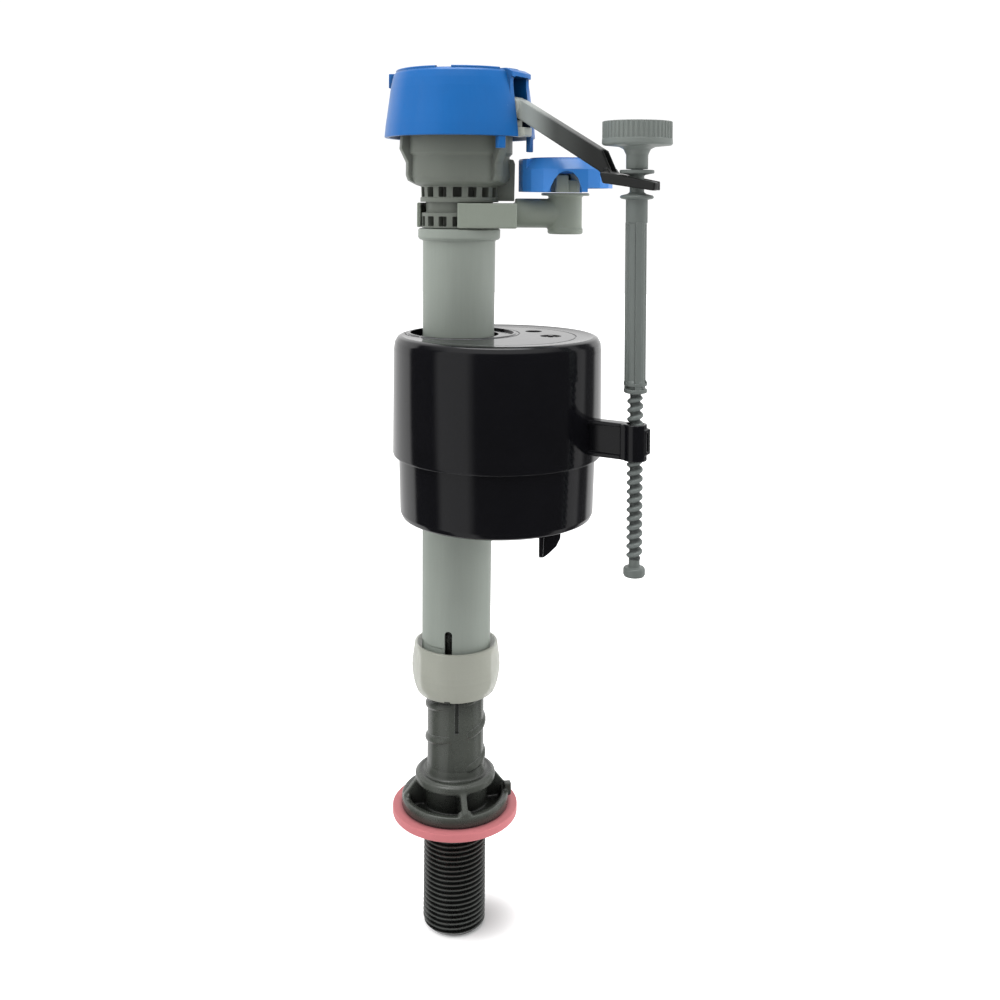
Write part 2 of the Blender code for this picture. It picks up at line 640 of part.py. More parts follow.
ROD_PROFILE = [
    (0, 257.8), (2.2, 257.8), (2.2, 247.2), (6.2, 247.2), (6.2, 245.9), (4.6, 245.7),
    (2.6, 245.4), (2.6, 239.2), (3.6, 238.5), (5.6, 238.1), (6.2, 237.5), (5.6, 236.9),
    (ROD_R, 236.6), (ROD_R, 171.1), (ROD_R, 169.0), (2.6, 169.0), (2.6, 168.4),
    (ROD_R, 168.4), (ROD_R, 166.9), (2.7, 166.6), (ROD_THREAD_R, 166.0),
    (ROD_THREAD_R, 108.4), (2.0, 108.2), (2.0, 106.1), (3.9, 105.8),
    (3.9, 103.2), (3.6, 102.9), (0, 102.9),
]
turned("adjusting_rod", ROD_PROFILE, rod_grey, location=(ROD_X, 0, 0), steps=SMALL)

KNOB_PROFILE = [
    (0, 263.7), (12.0, 263.7), (12.4, 263.3), (12.4, 258.4), (12.6, 258.2),
    (12.6, 256.4), (12.2, 256.0), (5.6, 255.3), (4.4, 254.4), (3.9, 252.6),
    (3.9, 247.5), (2.5, 247.5), (2.5, 258.2), (0, 258.2),
]
turned("adjusting_knob", KNOB_PROFILE, rod_grey, location=(ROD_X, 0, 0), steps=WIDE)

# ---- Float: upper cup -------------------------------------------------------
FLOAT_X = 17.6            # float centre from the tube axis
FLOAT_R = 39.4
FLOAT_BOTTOM = 117.0
UPPER_CUP_BOTTOM = 140.3
FLOAT_TOP = 185.0
FLOAT_CORNER_R = 4.0
SLEEVE_X = 1.6            # centre of the float's hole for the tube
SLEEVE_R = 20.0
ARM_X = 56.0              # inner end of the clip arm
ARM_BOTTOM = 144.0
ARM_TOP = 157.0
ARM_RIB_T = 1.6
ARM_RIB_END = 71.8

UPPER_CUP_PROFILE = [
    (0, FLOAT_TOP),
    *arc(FLOAT_R - FLOAT_CORNER_R, FLOAT_TOP - FLOAT_CORNER_R, FLOAT_CORNER_R, 90, 0, 3),
    (FLOAT_R, UPPER_CUP_BOTTOM), (37.5, UPPER_CUP_BOTTOM), (37.5, 181.0),
    (35.2, 183.2), (0, 183.2),
]
upper_cup = turned("float_upper_cup", UPPER_CUP_PROFILE, float_black, location=(FLOAT_X, 0, 0))
join(upper_cup, upright("upper_sleeve", SLEEVE_R + 1.4, 147.2, 184.0, x=SLEEVE_X))
cut(upper_cup, upright("upper_sleeve_bore", SLEEVE_R, 130.0, 190.0, x=SLEEVE_X))
# Clip arm: a web with top and bottom ribs, and the nut round the rod.
join(upper_cup, box("clip_web", (ARM_X, -1.1, 144.6), (71.4, 1.1, 156.4)))
join(upper_cup, box(
    "clip_rib_top", (ARM_X, -2.6, ARM_TOP - ARM_RIB_T), (ARM_RIB_END, 2.6, ARM_TOP)))
join(upper_cup, box(
    "clip_rib_bottom", (ARM_X, -2.6, ARM_BOTTOM), (ARM_RIB_END, 2.6, ARM_BOTTOM + ARM_RIB_T)))
join(upper_cup, upright("clip_nut", 4.3, ARM_BOTTOM, ARM_TOP, x=ROD_X, steps=SMALL))
cut(upper_cup, upright("clip_nut_bore", 3.05, 140.0, 160.0, x=ROD_X, steps=SMALL))
cut(upper_cup, box("clip_nut_gap", (ROD_X + 1.0, -6.0, 146.8), (ROD_X + 6.0, 1.2, 154.6)))

# ---- Float: lower cup, with a fin underneath --------------------------------
LOWER_CUP_PROFILE = [
    (0, 119.0), (34.4, 119.0), (35.3, 140.0), (35.5, 146.6), (37.1, 146.6),
    (37.1, 139.9), (36.4, 118.6), (35.0, FLOAT_BOTTOM), (0, FLOAT_BOTTOM),
]
FIN_OUTLINE = [(0.0, 118.0), (8.0, 118.0), (8.0, 113.6), (1.4, 107.3), (0.0, 107.3)]
lower_cup = turned("float_lower_cup", LOWER_CUP_PROFILE, float_black, location=(FLOAT_X, 0, 0))
join(lower_cup, upright("lower_sleeve", SLEEVE_R + 0.95, 117.4, 146.8, x=SLEEVE_X))
cut(lower_cup, upright("lower_sleeve_bore", SLEEVE_R, 110.0, 150.0, x=SLEEVE_X))
join(lower_cup, plate(
    "float_fin", FIN_OUTLINE, -0.9, 0.9, turn=30.0, location=(42.0, -11.5, 0)))

# ---- Shading ----------------------------------------------------------------
for part in parts.objects:
    part.data.shade_smooth()
    part.data.set_sharp_from_angle(angle=math.radians(SHARP_ANGLE))
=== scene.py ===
import math

import bmesh
import bpy
import numpy as np
from mathutils import Matrix, Vector


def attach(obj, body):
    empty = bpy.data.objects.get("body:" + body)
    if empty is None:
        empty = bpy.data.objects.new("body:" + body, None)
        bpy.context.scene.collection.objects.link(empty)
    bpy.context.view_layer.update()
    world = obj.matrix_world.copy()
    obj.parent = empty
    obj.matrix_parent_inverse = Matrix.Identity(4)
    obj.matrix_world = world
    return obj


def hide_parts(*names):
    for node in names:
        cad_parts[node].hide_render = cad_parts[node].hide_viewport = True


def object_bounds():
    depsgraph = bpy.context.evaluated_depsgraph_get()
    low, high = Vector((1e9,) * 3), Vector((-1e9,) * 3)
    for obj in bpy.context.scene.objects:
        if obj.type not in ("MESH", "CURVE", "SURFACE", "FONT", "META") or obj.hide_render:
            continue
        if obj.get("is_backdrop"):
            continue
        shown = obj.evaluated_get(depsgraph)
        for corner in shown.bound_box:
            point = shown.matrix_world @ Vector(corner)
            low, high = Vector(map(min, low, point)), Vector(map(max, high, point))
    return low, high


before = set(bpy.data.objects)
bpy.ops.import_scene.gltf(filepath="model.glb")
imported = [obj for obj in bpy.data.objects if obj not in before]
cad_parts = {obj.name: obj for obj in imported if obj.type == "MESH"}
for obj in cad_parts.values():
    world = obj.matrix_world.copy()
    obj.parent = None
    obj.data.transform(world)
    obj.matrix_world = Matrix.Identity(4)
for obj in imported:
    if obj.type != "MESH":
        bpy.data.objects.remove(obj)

MM = 0.001
scene = bpy.context.scene
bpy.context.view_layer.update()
WORK = []          # cutters and other helpers, removed once they are used


# ---------------------------------------------------------------- mesh helpers
def polar(radius, degrees, z=0.0):
    a = math.radians(degrees)
    return (radius * math.cos(a), radius * math.sin(a), z)


def eased(points, closed, steps=4):
    """Rounds each (a, b, radius) corner of an outline; an (a, b) corner stays sharp."""
    out, count = [], len(points)
    for i, point in enumerate(points):
        p = Vector(point[:2])
        radius = point[2] if len(point) > 2 else 0.0
        if radius <= 0 or (not closed and i in (0, count - 1)):
            out.append((p.x, p.y))
            continue
        before = Vector(points[i - 1][:2]) - p
        after = Vector(points[(i + 1) % count][:2]) - p
        if before.length < 1e-6 or after.length < 1e-6:
            out.append((p.x, p.y))
            continue
        turn = before.angle(after)
        if turn > math.pi - 0.02:
            out.append((p.x, p.y))
            continue
        reach = min(radius / math.tan(turn / 2), before.length * 0.48, after.length * 0.48)
        radius = reach * math.tan(turn / 2)
        before.normalize()
        after.normalize()
        centre = p + (before + after).normalized() * (radius / math.sin(turn / 2))
        first, last = p + before * reach - centre, p + after * reach - centre
        sweep = first.angle_signed(last)
        for k in range(steps + 1):
            spun = first.copy()
            spun.rotate(Matrix.Rotation(-sweep * k / steps, 2))
            out.append((centre.x + spun.x, centre.y + spun.y))
    return out


def obj_from(name, bm):
    bmesh.ops.recalc_face_normals(bm, faces=bm.faces)
    mesh = bpy.data.meshes.new(name)
    bm.to_mesh(mesh)
    bm.free()
    obj = bpy.data.objects.new(name, mesh)
    scene.collection.objects.link(obj)
    return obj


def lathe(name, profile, steps=96, at=(0, 0), start=0.0, ease=4):
    """A turned solid from its (r, z[, corner radius]) outline, in mm."""
    on_axis = profile[0][0] == 0 and profile[-1][0] == 0
    points = eased(profile, not on_axis, ease)
    bm = bmesh.new()
    rings = []
    for r, z in points:
        if r < 1e-6:
            rings.append([bm.verts.new((at[0] * MM, at[1] * MM, z * MM))] * steps)
            continue
        ring = []
        for i in range(steps):
            x, y, _ = polar(r, start + 360.0 * i / steps)
            ring.append(bm.verts.new(((x + at[0]) * MM, (y + at[1]) * MM, z * MM)))
        rings.append(ring)
    pairs = list(zip(rings, rings[1:]))
    if not on_axis:
        pairs.append((rings[-1], rings[0]))
    for a, b in pairs:
        for i in range(steps):
            j = (i + 1) % steps
            corners = []
            for v in (a[i], a[j], b[j], b[i]):
                if v not in corners:
                    corners.append(v)
            if len(corners) > 2:
                bm.faces.new(corners)
    bmesh.ops.remove_doubles(bm, verts=bm.verts, dist=1e-7)
    return obj_from(name, bm)


def grid_tube(name, lows, highs, radius_of, pitch, per_turn, steps, inner):
    """A solid round sleeve whose outside follows radius_of(phase, z) along a screw line.

    lows and highs are the two ends in z; inner is the bore's radius (0 for none).
    """
    bm = bmesh.new()
    count = int(math.ceil((highs - lows + pitch) / pitch * per_turn)) + 1
    columns = []
    for i in range(steps):
        turn = i / steps
        column = []
        for j in range(count + 1):
            z = lows - pitch + j * pitch / per_turn + pitch * turn
            z = min(max(z, lows), highs)
            phase = ((z - lows) / pitch - turn) % 1.0
            r = radius_of(phase, z)
            x, y, _ = polar(r, 360.0 * turn)
            column.append(bm.verts.new((x * MM, y * MM, z * MM)))
        columns.append(column)
    for i in range(steps):
        nxt = columns[(i + 1) % steps]
        shift = per_turn if i == steps - 1 else 0
        for j in range(count):
            a, b = min(j + shift, count), min(j + 1 + shift, count)
            corners = []
            for v in (columns[i][j], nxt[a], nxt[b], columns[i][j + 1]):
                if v not in corners:
                    corners.append(v)
            if len(corners) > 2:
                bm.faces.new(corners)
    bmesh.ops.remove_doubles(bm, verts=bm.verts, dist=2e-7)
    bmesh.ops.dissolve_degenerate(bm, edges=bm.edges, dist=1e-8)
    rims = [e for e in bm.edges if e.is_boundary]
    for z in (lows, highs):
        loop = [e for e in rims if all(abs(v.co.z - z * MM) < 1e-7 for v in e.verts)]
        if inner > 0:
            bore = []
            for i in range(steps):
                x, y, _ = polar(inner, 360.0 * i / steps)
                bore.append(bm.verts.new((x * MM, y * MM, z * MM)))
            ring = [bm.edges.new((bore[i], bore[(i + 1) % steps])) for i in range(steps)]
            bmesh.ops.bridge_loops(bm, edges=loop + ring)
        else:
            bmesh.ops.contextual_create(bm, geom=loop)
    if inner > 0:
        loops = [e for e in bm.edges if e.is_boundary]
        bmesh.ops.bridge_loops(bm, edges=loops)
    return obj_from(name, bm)


def rbox(name, low, high, ease=0.3, turn=0.0, at=(0, 0, 0), tilt=None, segs=2):
    """A box with rounded edges between two corners (mm), turned about Z through at."""
    low, high = Vector(low), Vector(high)
    bm = bmesh.new()
    bmesh.ops.create_cube(bm, size=1.0)
    size = high - low
    for v in bm.verts:
        v.co = Vector((v.co[i] * size[i] for i in range(3))) + (low + high) / 2
    if ease > 0:
        bmesh.ops.bevel(bm, geom=bm.edges[:], offset=min(ease, min(size) * 0.45), segments=segs,
                        profile=0.5, affect="EDGES")
    matrix = Matrix.Translation(Vector(at)) @ Matrix.Rotation(math.radians(turn), 4, "Z")
    if tilt is not None:
        matrix = matrix @ tilt
    bm.transform(Matrix.Diagonal((MM, MM, MM, 1)) @ matrix)
    return obj_from(name, bm)


def rplate(name, outline, y_low, y_high, ease=0.3, turn=0.0, at=(0, 0, 0), steps=4, segs=2):
    """A flat (x, z[, radius]) outline with thickness along Y and eased faces."""
    points = eased(outline, True, steps)
    bm = bmesh.new()
    front = bm.faces.new([bm.verts.new((x, y_low, z)) for x, z in points])
    made = bmesh.ops.extrude_face_region(bm, geom=[front], use_keep_orig=True)
    for v in made["geom"]:
        if isinstance(v, bmesh.types.BMVert):
            v.co.y = y_high
    bmesh.ops.remove_doubles(bm, verts=bm.verts, dist=1e-6)
    bmesh.ops.recalc_face_normals(bm, faces=bm.faces)
    if ease > 0:
        rim = [e for e in bm.edges if abs(e.verts[0].co.y - e.verts[1].co.y) < 1e-6]
        bmesh.ops.bevel(bm, geom=rim, offset=ease, segments=segs, profile=0.5,
                        affect="EDGES", clamp_overlap=True)
    matrix = Matrix.Translation(Vector(at)) @ Matrix.Rotation(math.radians(turn), 4, "Z")
    bm.transform(Matrix.Diagonal((MM, MM, MM, 1)) @ matrix)
    return obj_from(name, bm)


def rod(name, radius, low, high, steps=48, radius_2=None, ease=0.0):
    """A round bar between two points (mm), with eased ends."""
    low, high = Vector(low), Vector(high)
    length = (high - low).length
    r2 = radius if radius_2 is None else radius_2
    made = lathe(name, [(0, 0), (radius, 0, ease), (r2, length, ease), (0, length)], steps)
    turn = (high - low).to_track_quat("Z", "Y").to_matrix().to_4x4()
    made.data.transform(Matrix.Translation(low * MM) @ turn)
    return made


def swept(name, path, section):
    """A closed section carried along a path of frames, with both ends filled."""
    bm = bmesh.new()
    rings = [[bm.verts.new(Vector(p) * MM) for p in section(*step)] for step in path]
    for a, b in zip(rings, rings[1:]):
        for j in range(len(a)):
            bm.faces.new((a[j], a[(j + 1) % len(a)], b[(j + 1) % len(a)], b[j]))
    bm.faces.new(rings[0][::-1])
    bm.faces.new(rings[-1])
    return obj_from(name, bm)


def apply_all(obj):
    """Replaces the mesh by its evaluated one and drops the modifiers."""
    bpy.context.view_layer.update()
    graph = bpy.context.evaluated_depsgraph_get()
    mesh = bpy.data.meshes.new_from_object(obj.evaluated_get(graph))
    mesh.name = obj.name
    obj.modifiers.clear()
    obj.data = mesh
    for helper in WORK:
        bpy.data.objects.remove(helper, do_unlink=True)
    WORK.clear()
    return obj


def change(obj, other, operation):
    step = obj.modifiers.new(operation, "BOOLEAN")
    step.operation = operation
    step.object = other
    step.solver = "MANIFOLD"
    other.hide_render = True
    WORK.append(other)


def add(obj, *others):
    for other in others:
        change(obj, other, "UNION")
    return apply_all(obj)


def cut(obj, *others):
    for other in others:
        change(obj, other, "DIFFERENCE")
    return apply_all(obj)


def moulded(obj, voxel, passes=4, factor=0.5):
    """Blends a joined solid as a moulding: small fillets in each corner."""
    remesh = obj.modifiers.new("Remesh", "REMESH")
    remesh.mode = "VOXEL"
    remesh.voxel_size = voxel * MM
    remesh.use_smooth_shade = True
    soften = obj.modifiers.new("Soften", "SMOOTH")
    soften.factor = factor
    soften.iterations = passes
    return apply_all(obj)


def piece(obj, name, mat, body, *nodes, slot=None, angle=32.0):
    """Names a finished piece, gives it its material and lets it ride on its body."""
    obj.name = name
    obj.data.name = name
    obj.data.materials.clear()
    obj.data.materials.append(mat)
    bm = bmesh.new()
    bm.from_mesh(obj.data)
    bmesh.ops.remove_doubles(bm, verts=bm.verts, dist=5e-8)
    bmesh.ops.dissolve_degenerate(bm, edges=bm.edges, dist=1e-8)
    bm.to_mesh(obj.data)
    bm.free()
    obj.data.shade_smooth()
    if angle:
        obj.data.set_sharp_from_angle(angle=math.radians(angle))
    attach(obj, body)
    if nodes:
        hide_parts(*nodes)
    return obj


# ------------------------------------------------------------------- materials
def plastic(name, colour, rough, vary=0.10, grain=0.35, grain_scale=2600.0, flow=0.0,
            edge=0.12, spec=0.5, alpha=1.0, shade=None, round_mm=0.22, sheen=0.0, coat=0.0,
            speck=0.04, metal=0.0, streak=0.0, cavity=None, hollow=None):
    """Moulded plastic or rubber: mottled colour, fine spark-eroded grain, eased edges lightened by a painted highlight
    and by wear.

    shade is an optional list of (position, factor) stops of painted light and shade that darken or lighten along
    an axis: (axis index, low mm, high mm, [(t, factor), ...]).
    """
    mat = bpy.data.materials.new(name)
    mat.use_nodes = True
    nodes, links = mat.node_tree.nodes, mat.node_tree.links
    bsdf = nodes["Principled BSDF"]

    def node(kind, **values):
        made = nodes.new(kind)
        for key, value in values.items():
            setattr(made, key, value)
        return made

    def maths(operation, a, b=None, c=None):
        made = node("ShaderNodeMath", operation=operation)
        for slot_index, value in enumerate((a, b, c)):
            if value is None:
                continue
            if isinstance(value, (int, float)):
                made.inputs[slot_index].default_value = value
            else:
                links.new(value, made.inputs[slot_index])
        return made.outputs[0]

    coords = node("ShaderNodeTexCoord").outputs["Object"]

    def noise(scale, detail=3.0, rough_=0.55, vector=coords):
        made = node("ShaderNodeTexNoise")
        made.inputs["Scale"].default_value = scale
        made.inputs["Detail"].default_value = detail
        made.inputs["Roughness"].default_value = rough_
        links.new(vector, made.inputs["Vector"])
        return made.outputs["Fac"]

    cloud = noise(75.0, 4.0)                      # slow clouding, about 13 mm
    fine = noise(grain_scale, 2.0)                # grain of the mould's surface
    lines = node("ShaderNodeMapping")
    lines.inputs["Scale"].default_value = (1.0, 1.0, 0.06)
    links.new(coords, lines.inputs["Vector"])
    drawn = noise(900.0, 2.0, 0.5, lines.outputs["Vector"])   # faint lines along the draw

    # brightness factor = 1 + vary*(cloud-.5)*2 + speck*(fine-.5)*2 + streaks
    factor = maths("MULTIPLY_ADD", cloud, 2.0 * vary, 1.0 - vary)
    factor = maths("ADD", factor, maths("MULTIPLY_ADD", fine, 2.0 * speck, -speck))
    factor = maths("ADD", factor, maths("MULTIPLY_ADD", drawn, 2.0 * (streak + 0.02), -(streak + 0.02)))
    # painted light and shade: the colour is lightened or darkened along one axis
    if shade:
        axis, low, high, stops = shade
        split = node("ShaderNodeSeparateXYZ")
        links.new(coords, split.inputs[0])
        spread = node("ShaderNodeMapRange")
        links.new(split.outputs[axis], spread.inputs["Value"])
        spread.inputs["From Min"].default_value = low * MM
        spread.inputs["From Max"].default_value = high * MM
        ramp = node("ShaderNodeValToRGB")
        ramp.color_ramp.interpolation = "EASE"
        elements = ramp.color_ramp.elements
        while len(elements) < len(stops):
            elements.new(0.5)
        for element, (t, value) in zip(elements, stops):
            element.position = t
            element.color = (value, value, value, 1.0)
        links.new(spread.outputs["Result"], ramp.inputs["Fac"])
        factor = maths("MULTIPLY", factor, maths("MULTIPLY", ramp.outputs["Color"], 1.0))

    if cavity:
        # painted shade: grooves are darker than crests: (axis x mm, low radius, high radius, factor)
        moved = node("ShaderNodeVectorMath", operation="SUBTRACT")
        links.new(coords, moved.inputs[0])
        moved.inputs[1].default_value = (cavity[0] * MM, 0, 0)
        flat = node("ShaderNodeVectorMath", operation="MULTIPLY")
        links.new(moved.outputs["Vector"], flat.inputs[0])
        flat.inputs[1].default_value = (1, 1, 0)
        reach = node("ShaderNodeVectorMath", operation="LENGTH")
        links.new(flat.outputs["Vector"], reach.inputs[0])
        depth = node("ShaderNodeMapRange", interpolation_type="SMOOTHSTEP")
        links.new(reach.outputs["Value"], depth.inputs["Value"])
        depth.inputs["From Min"].default_value = cavity[1] * MM
        depth.inputs["From Max"].default_value = cavity[2] * MM
        depth.inputs["To Min"].default_value = cavity[3]
        factor = maths("MULTIPLY", factor, depth.outputs["Result"])

    if hollow:
        # painted shade: pockets are darkened by the occlusion node: (reach mm, strength)
        shelter = node("ShaderNodeAmbientOcclusion")
        shelter.inputs["Distance"].default_value = hollow[0] * MM
        factor = maths("MULTIPLY", factor, maths("POWER", shelter.outputs["AO"], hollow[1]))

    # painted highlight on eased edges, partly edge wear: how far the rounded normal leaves the face's own
    geometry = node("ShaderNodeNewGeometry")
    rounded = node("ShaderNodeBevel", samples=4)
    rounded.inputs["Radius"].default_value = round_mm * MM
    dot = node("ShaderNodeVectorMath", operation="DOT_PRODUCT")
    links.new(rounded.outputs["Normal"], dot.inputs[0])
    links.new(geometry.outputs["Normal"], dot.inputs[1])
    rim = maths("SUBTRACT", 1.0, dot.outputs["Value"])
    rim = maths("MULTIPLY", rim, 4.0)
    rim = maths("MINIMUM", maths("MAXIMUM", rim, 0.0), 1.0)
    factor = maths("ADD", factor, maths("MULTIPLY", rim, edge))

    tint = node("ShaderNodeVectorMath", operation="SCALE")
    tint.inputs[0].default_value = colour
    links.new(factor, tint.inputs["Scale"])
    # the lightened edge also leans towards white: partly scuffed wear, partly a painted highlight
    wear_and_highlight = node("ShaderNodeMix", data_type="RGBA")
    links.new(maths("MULTIPLY", rim, edge * 0.35), wear_and_highlight.inputs["Factor"])
    links.new(tint.outputs["Vector"], wear_and_highlight.inputs["A"])
    wear_and_highlight.inputs["B"].default_value = (0.75, 0.77, 0.78, 1.0)
    links.new(wear_and_highlight.outputs["Result"], bsdf.inputs["Base Color"])

    roughness = maths("ADD", maths("MULTIPLY_ADD", noise(160.0, 3.0), 0.10, rough - 0.05),
                      maths("MULTIPLY_ADD", fine, 0.06, -0.03))
    links.new(roughness, bsdf.inputs["Roughness"])
    height = maths("ADD", maths("MULTIPLY", fine, 1.0), maths("MULTIPLY", drawn, 0.35 + flow))
    bump = node("ShaderNodeBump")
    bump.inputs["Strength"].default_value = grain
    bump.inputs["Distance"].default_value = 0.00003
    links.new(height, bump.inputs["Height"])
    links.new(rounded.outputs["Normal"], bump.inputs["Normal"])
    links.new(bump.outputs["Normal"], bsdf.inputs["Normal"])
    bsdf.inputs["Specular IOR Level"].default_value = spec
    bsdf.inputs["Metallic"].default_value = metal
    bsdf.inputs["Alpha"].default_value = alpha
    bsdf.inputs["Coat Weight"].default_value = coat
    bsdf.inputs["Coat Roughness"].default_value = 0.12
    if sheen:
        bsdf.inputs["Sheen Weight"].default_value = sheen
        bsdf.inputs["Sheen Roughness"].default_value = 0.5
    mat.diffuse_color = (*colour, 1.0)
    return mat


# painted shade in the shank's pockets and the thread's grooves; a stronger painted highlight on the shank's edges
SHANK = plastic("shank_plastic", (0.060, 0.066, 0.057), 0.27, vary=0.10, edge=0.85, spec=0.6, hollow=(9.0, 1.6))
THREAD = plastic("shank_thread_plastic", (0.060, 0.066, 0.060), 0.28, edge=0.5, spec=0.5, round_mm=0.10,
                 cavity=(0.0, 11.40, 12.02, 0.07))
# painted shade: the washer is darkened where it sits under the flange
WASHER = plastic("washer_rubber", (0.515, 0.158, 0.170), 0.60, vary=0.04, grain=0.5, edge=0.30, sheen=0.12, spec=0.3, hollow=(1.6, 0.8))
SEAL = plastic("seal_rubber", (0.018, 0.018, 0.019), 0.6, grain=0.5, edge=0.4, sheen=0.1)
TUBE = plastic("tube_plastic", (0.243, 0.270, 0.241), 0.46, vary=0.035, edge=0.10, spec=0.4, streak=0.02)
# painted shade: the valve body is darkened slightly in its hollows
BODY = plastic("body_plastic", (0.136, 0.150, 0.129), 0.44, vary=0.05, edge=0.35, spec=0.4, hollow=(4.0, 0.3))
ELBOW = plastic("elbow_plastic", (0.235, 0.263, 0.222), 0.42, vary=0.05, edge=0.15, spec=0.4)
PALE = plastic("pale_plastic", (0.36, 0.38, 0.34), 0.42, vary=0.05, edge=0.1)
RING = plastic("lock_ring_plastic", (0.385, 0.395, 0.342), 0.34, vary=0.03, edge=0.12, alpha=0.70, spec=0.5)
# painted shade: the cap is darkened in its mouth and other hollows
CAP = plastic("cap_plastic", (0.002, 0.114, 0.380), 0.34, vary=0.06, edge=0.28, spec=0.5, grain=0.45, hollow=(9.0, 1.5))
DIAL = plastic("dial_plastic", (0.040, 0.212, 0.610), 0.24, vary=0.04, edge=0.25, spec=0.6, grain=0.12)
# the lever's colour is painted pale near the cap and near-black at the fork: partly its own dark tone, partly a painted
# reflection near the cap and painted shade towards the fork
LEVER = plastic("lever_plastic", (0.120, 0.130, 0.122), 0.36, vary=0.06, edge=0.6, spec=0.55,
                shade=(0, 25.0, 85.0, [(0.0, 2.6), (0.10, 2.4), (0.32, 0.38), (0.56, 0.09), (1.0, 0.08)]))
ROD = plastic("rod_plastic", (0.122, 0.138, 0.130), 0.40, vary=0.06, edge=0.30, spec=0.5)
# painted shade: the rod thread's grooves are darkened
SCREW = plastic("rod_thread_plastic", (0.135, 0.152, 0.146), 0.42, vary=0.05, edge=0.30, spec=0.5,
                cavity=(74.3, 1.85, 2.75, 0.36))
KNOB = plastic("knob_plastic", (0.155, 0.174, 0.162), 0.42, vary=0.05, edge=0.25, spec=0.5)
FLOAT = plastic("float_plastic", (0.0040, 0.0040, 0.0052), 0.11, vary=0.25, grain=0.07, grain_scale=1500.0,
                edge=1.0, spec=0.5, speck=0.05, round_mm=0.30)
STEEL = plastic("pin_steel", (0.58, 0.58, 0.57), 0.28, vary=0.04, grain=0.2, metal=1.0, edge=0.1)


# ---------------------------------------------------------------- shank (base)
PITCH = 1.814


def thread_radius(phase, z):
    peak = abs(phase - 0.5) * 2.0
    rise = min(max((peak - 0.20) / 0.66, 0.0), 1.0)
    rise = rise * rise * (3 - 2 * rise) * 0.35 + rise * 0.65
    fade = min(max((2.7 - z) / 1.6, 0.0), 1.0)
    radius = 10.82 + 1.10 * rise * fade
    return min(radius, 10.25 + (z + 42.8) * 0.95)


shank_thread = grid_tube("shank_thread", -42.8, 2.9, thread_radius, PITCH, 12, 96, 6.5)
piece(shank_thread, "shank_thread", THREAD, "base", "shank", slot="shank_plastic", angle=55)

flange = lathe("flange", [
    (9.6, 19.6), (10.6, 19.6), (10.9, 18.9, 0.8), (11.5, 16.6, 1.4), (12.5, 15.9, 0.8),
    (13.3, 16.2, 0.8), (14.3, 16.1, 0.5), (14.65, 15.35, 0.25), (15.35, 15.25, 0.35), (15.35, 12.9, 0.35),
    (14.6, 12.4, 0.3), (12.3, 12.1, 0.4), (12.3, 4.0, 0.5), (17.2, 4.0, 0.5), (17.7, 7.0, 0.5),
    (20.1, 7.15, 0.5), (20.5, 6.4, 0.4), (20.5, 3.1, 0.2), (9.6, 3.1)], 128)
ribs = []
for k in range(4):
    ribs.append(rplate(f"rib{k}", [(12.0, 14.4), (15.1, 14.0, 0.2), (17.4, 11.2, 3.0), (20.1, 7.9, 0.6),
                                   (20.1, 5.4), (18.4, 3.8), (12.0, 3.8)], -1.15, 1.15, 0.25,
                       turn=-46.5 + 90.0 * k))
    # the foot of each rib spreads where it meets the flange's rim and the shoulder
    ribs.append(rplate(f"foot{k}", [(17.6, 7.9), (18.3, 8.6), (20.0, 7.4), (20.0, 4.5), (17.6, 4.5)],
                       -2.4, 2.4, 0.7, turn=-46.5 + 90.0 * k))
    ribs.append(rplate(f"neck{k}", [(12.0, 14.4), (15.3, 13.9), (15.3, 12.7), (14.0, 11.2), (12.0, 11.2)],
                       -2.6, 2.6, 0.9, turn=-46.5 + 90.0 * k))
ribs.append(rbox("lug", (19.0, -1.5, 4.6), (21.8, 1.5, 9.4), 0.35, turn=37.0))
add(flange, *ribs)
moulded(flange, 0.33, 3)
piece(flange, "shank_flange", SHANK, "base", slot="shank_plastic", angle=None)

riser = lathe("riser", [(9.6, 16.0), (10.85, 16.0), (10.85, 125.0, 0.3), (9.7, 125.0), (9.7, 118.0),
                        (8.8, 117.6), (8.8, 16.0)], 96)


def ridge_section(angle, half, height):
    z = 33.8 - 12.8 + 12.8 * angle / 360.0
    shape = [(10.2, -half), (10.85, -half), (10.85 + height * 0.75, -half * 0.62),
             (10.85 + height, -half * 0.25), (10.85 + height, half * 0.25),
             (10.85 + height * 0.75, half * 0.62), (10.85, half), (10.2, half)]
    return [polar(r, angle, z + dz) for r, dz in shape]


ridges = []
for k in range(8):
    first = -34.0 + 360.0 * k
    length = 333.0 if k < 7 else 200.0
    path = []
    for i in range(65):
        t = i / 64
        begin, end = min(t * length / 9.0, 1.0), min((1 - t) * length / 48.0, 1.0)
        swell = math.sqrt(max(begin, 0.0)) * (end * end * (3 - 2 * end)) ** 0.5
        path.append((first + length * t, 0.9 + 0.75 * swell, 0.05 + 0.80 * swell))
    ridges.append(swept(f"ridge{k}", path, ridge_section))
ridges.append(rbox("key", (10.0, -1.4, 16.0), (10.82, 1.4, 36.0), 0.25, turn=-55.4))
add(riser, *ridges)
cut(riser, rbox("channel", (10.15, -0.75, 33.8), (12.5, 0.75, 130.0), 0.0, turn=-55.4))
piece(riser, "riser_helix", SHANK, "base", slot="shank_plastic")

washer = lathe("washer", [(12.3, 2.85), (20.6, 2.92, 0.4), (23.8, 2.85, 0.12), (24.0, 2.68, 0.08), (24.0, 0.25, 0.2),
                          (23.8, 0.0, 0.1), (12.3, 0.0)], 160)
piece(washer, "shank_washer_rubber", WASHER, "base", "shank_washer", slot="washer_rubber", angle=50)

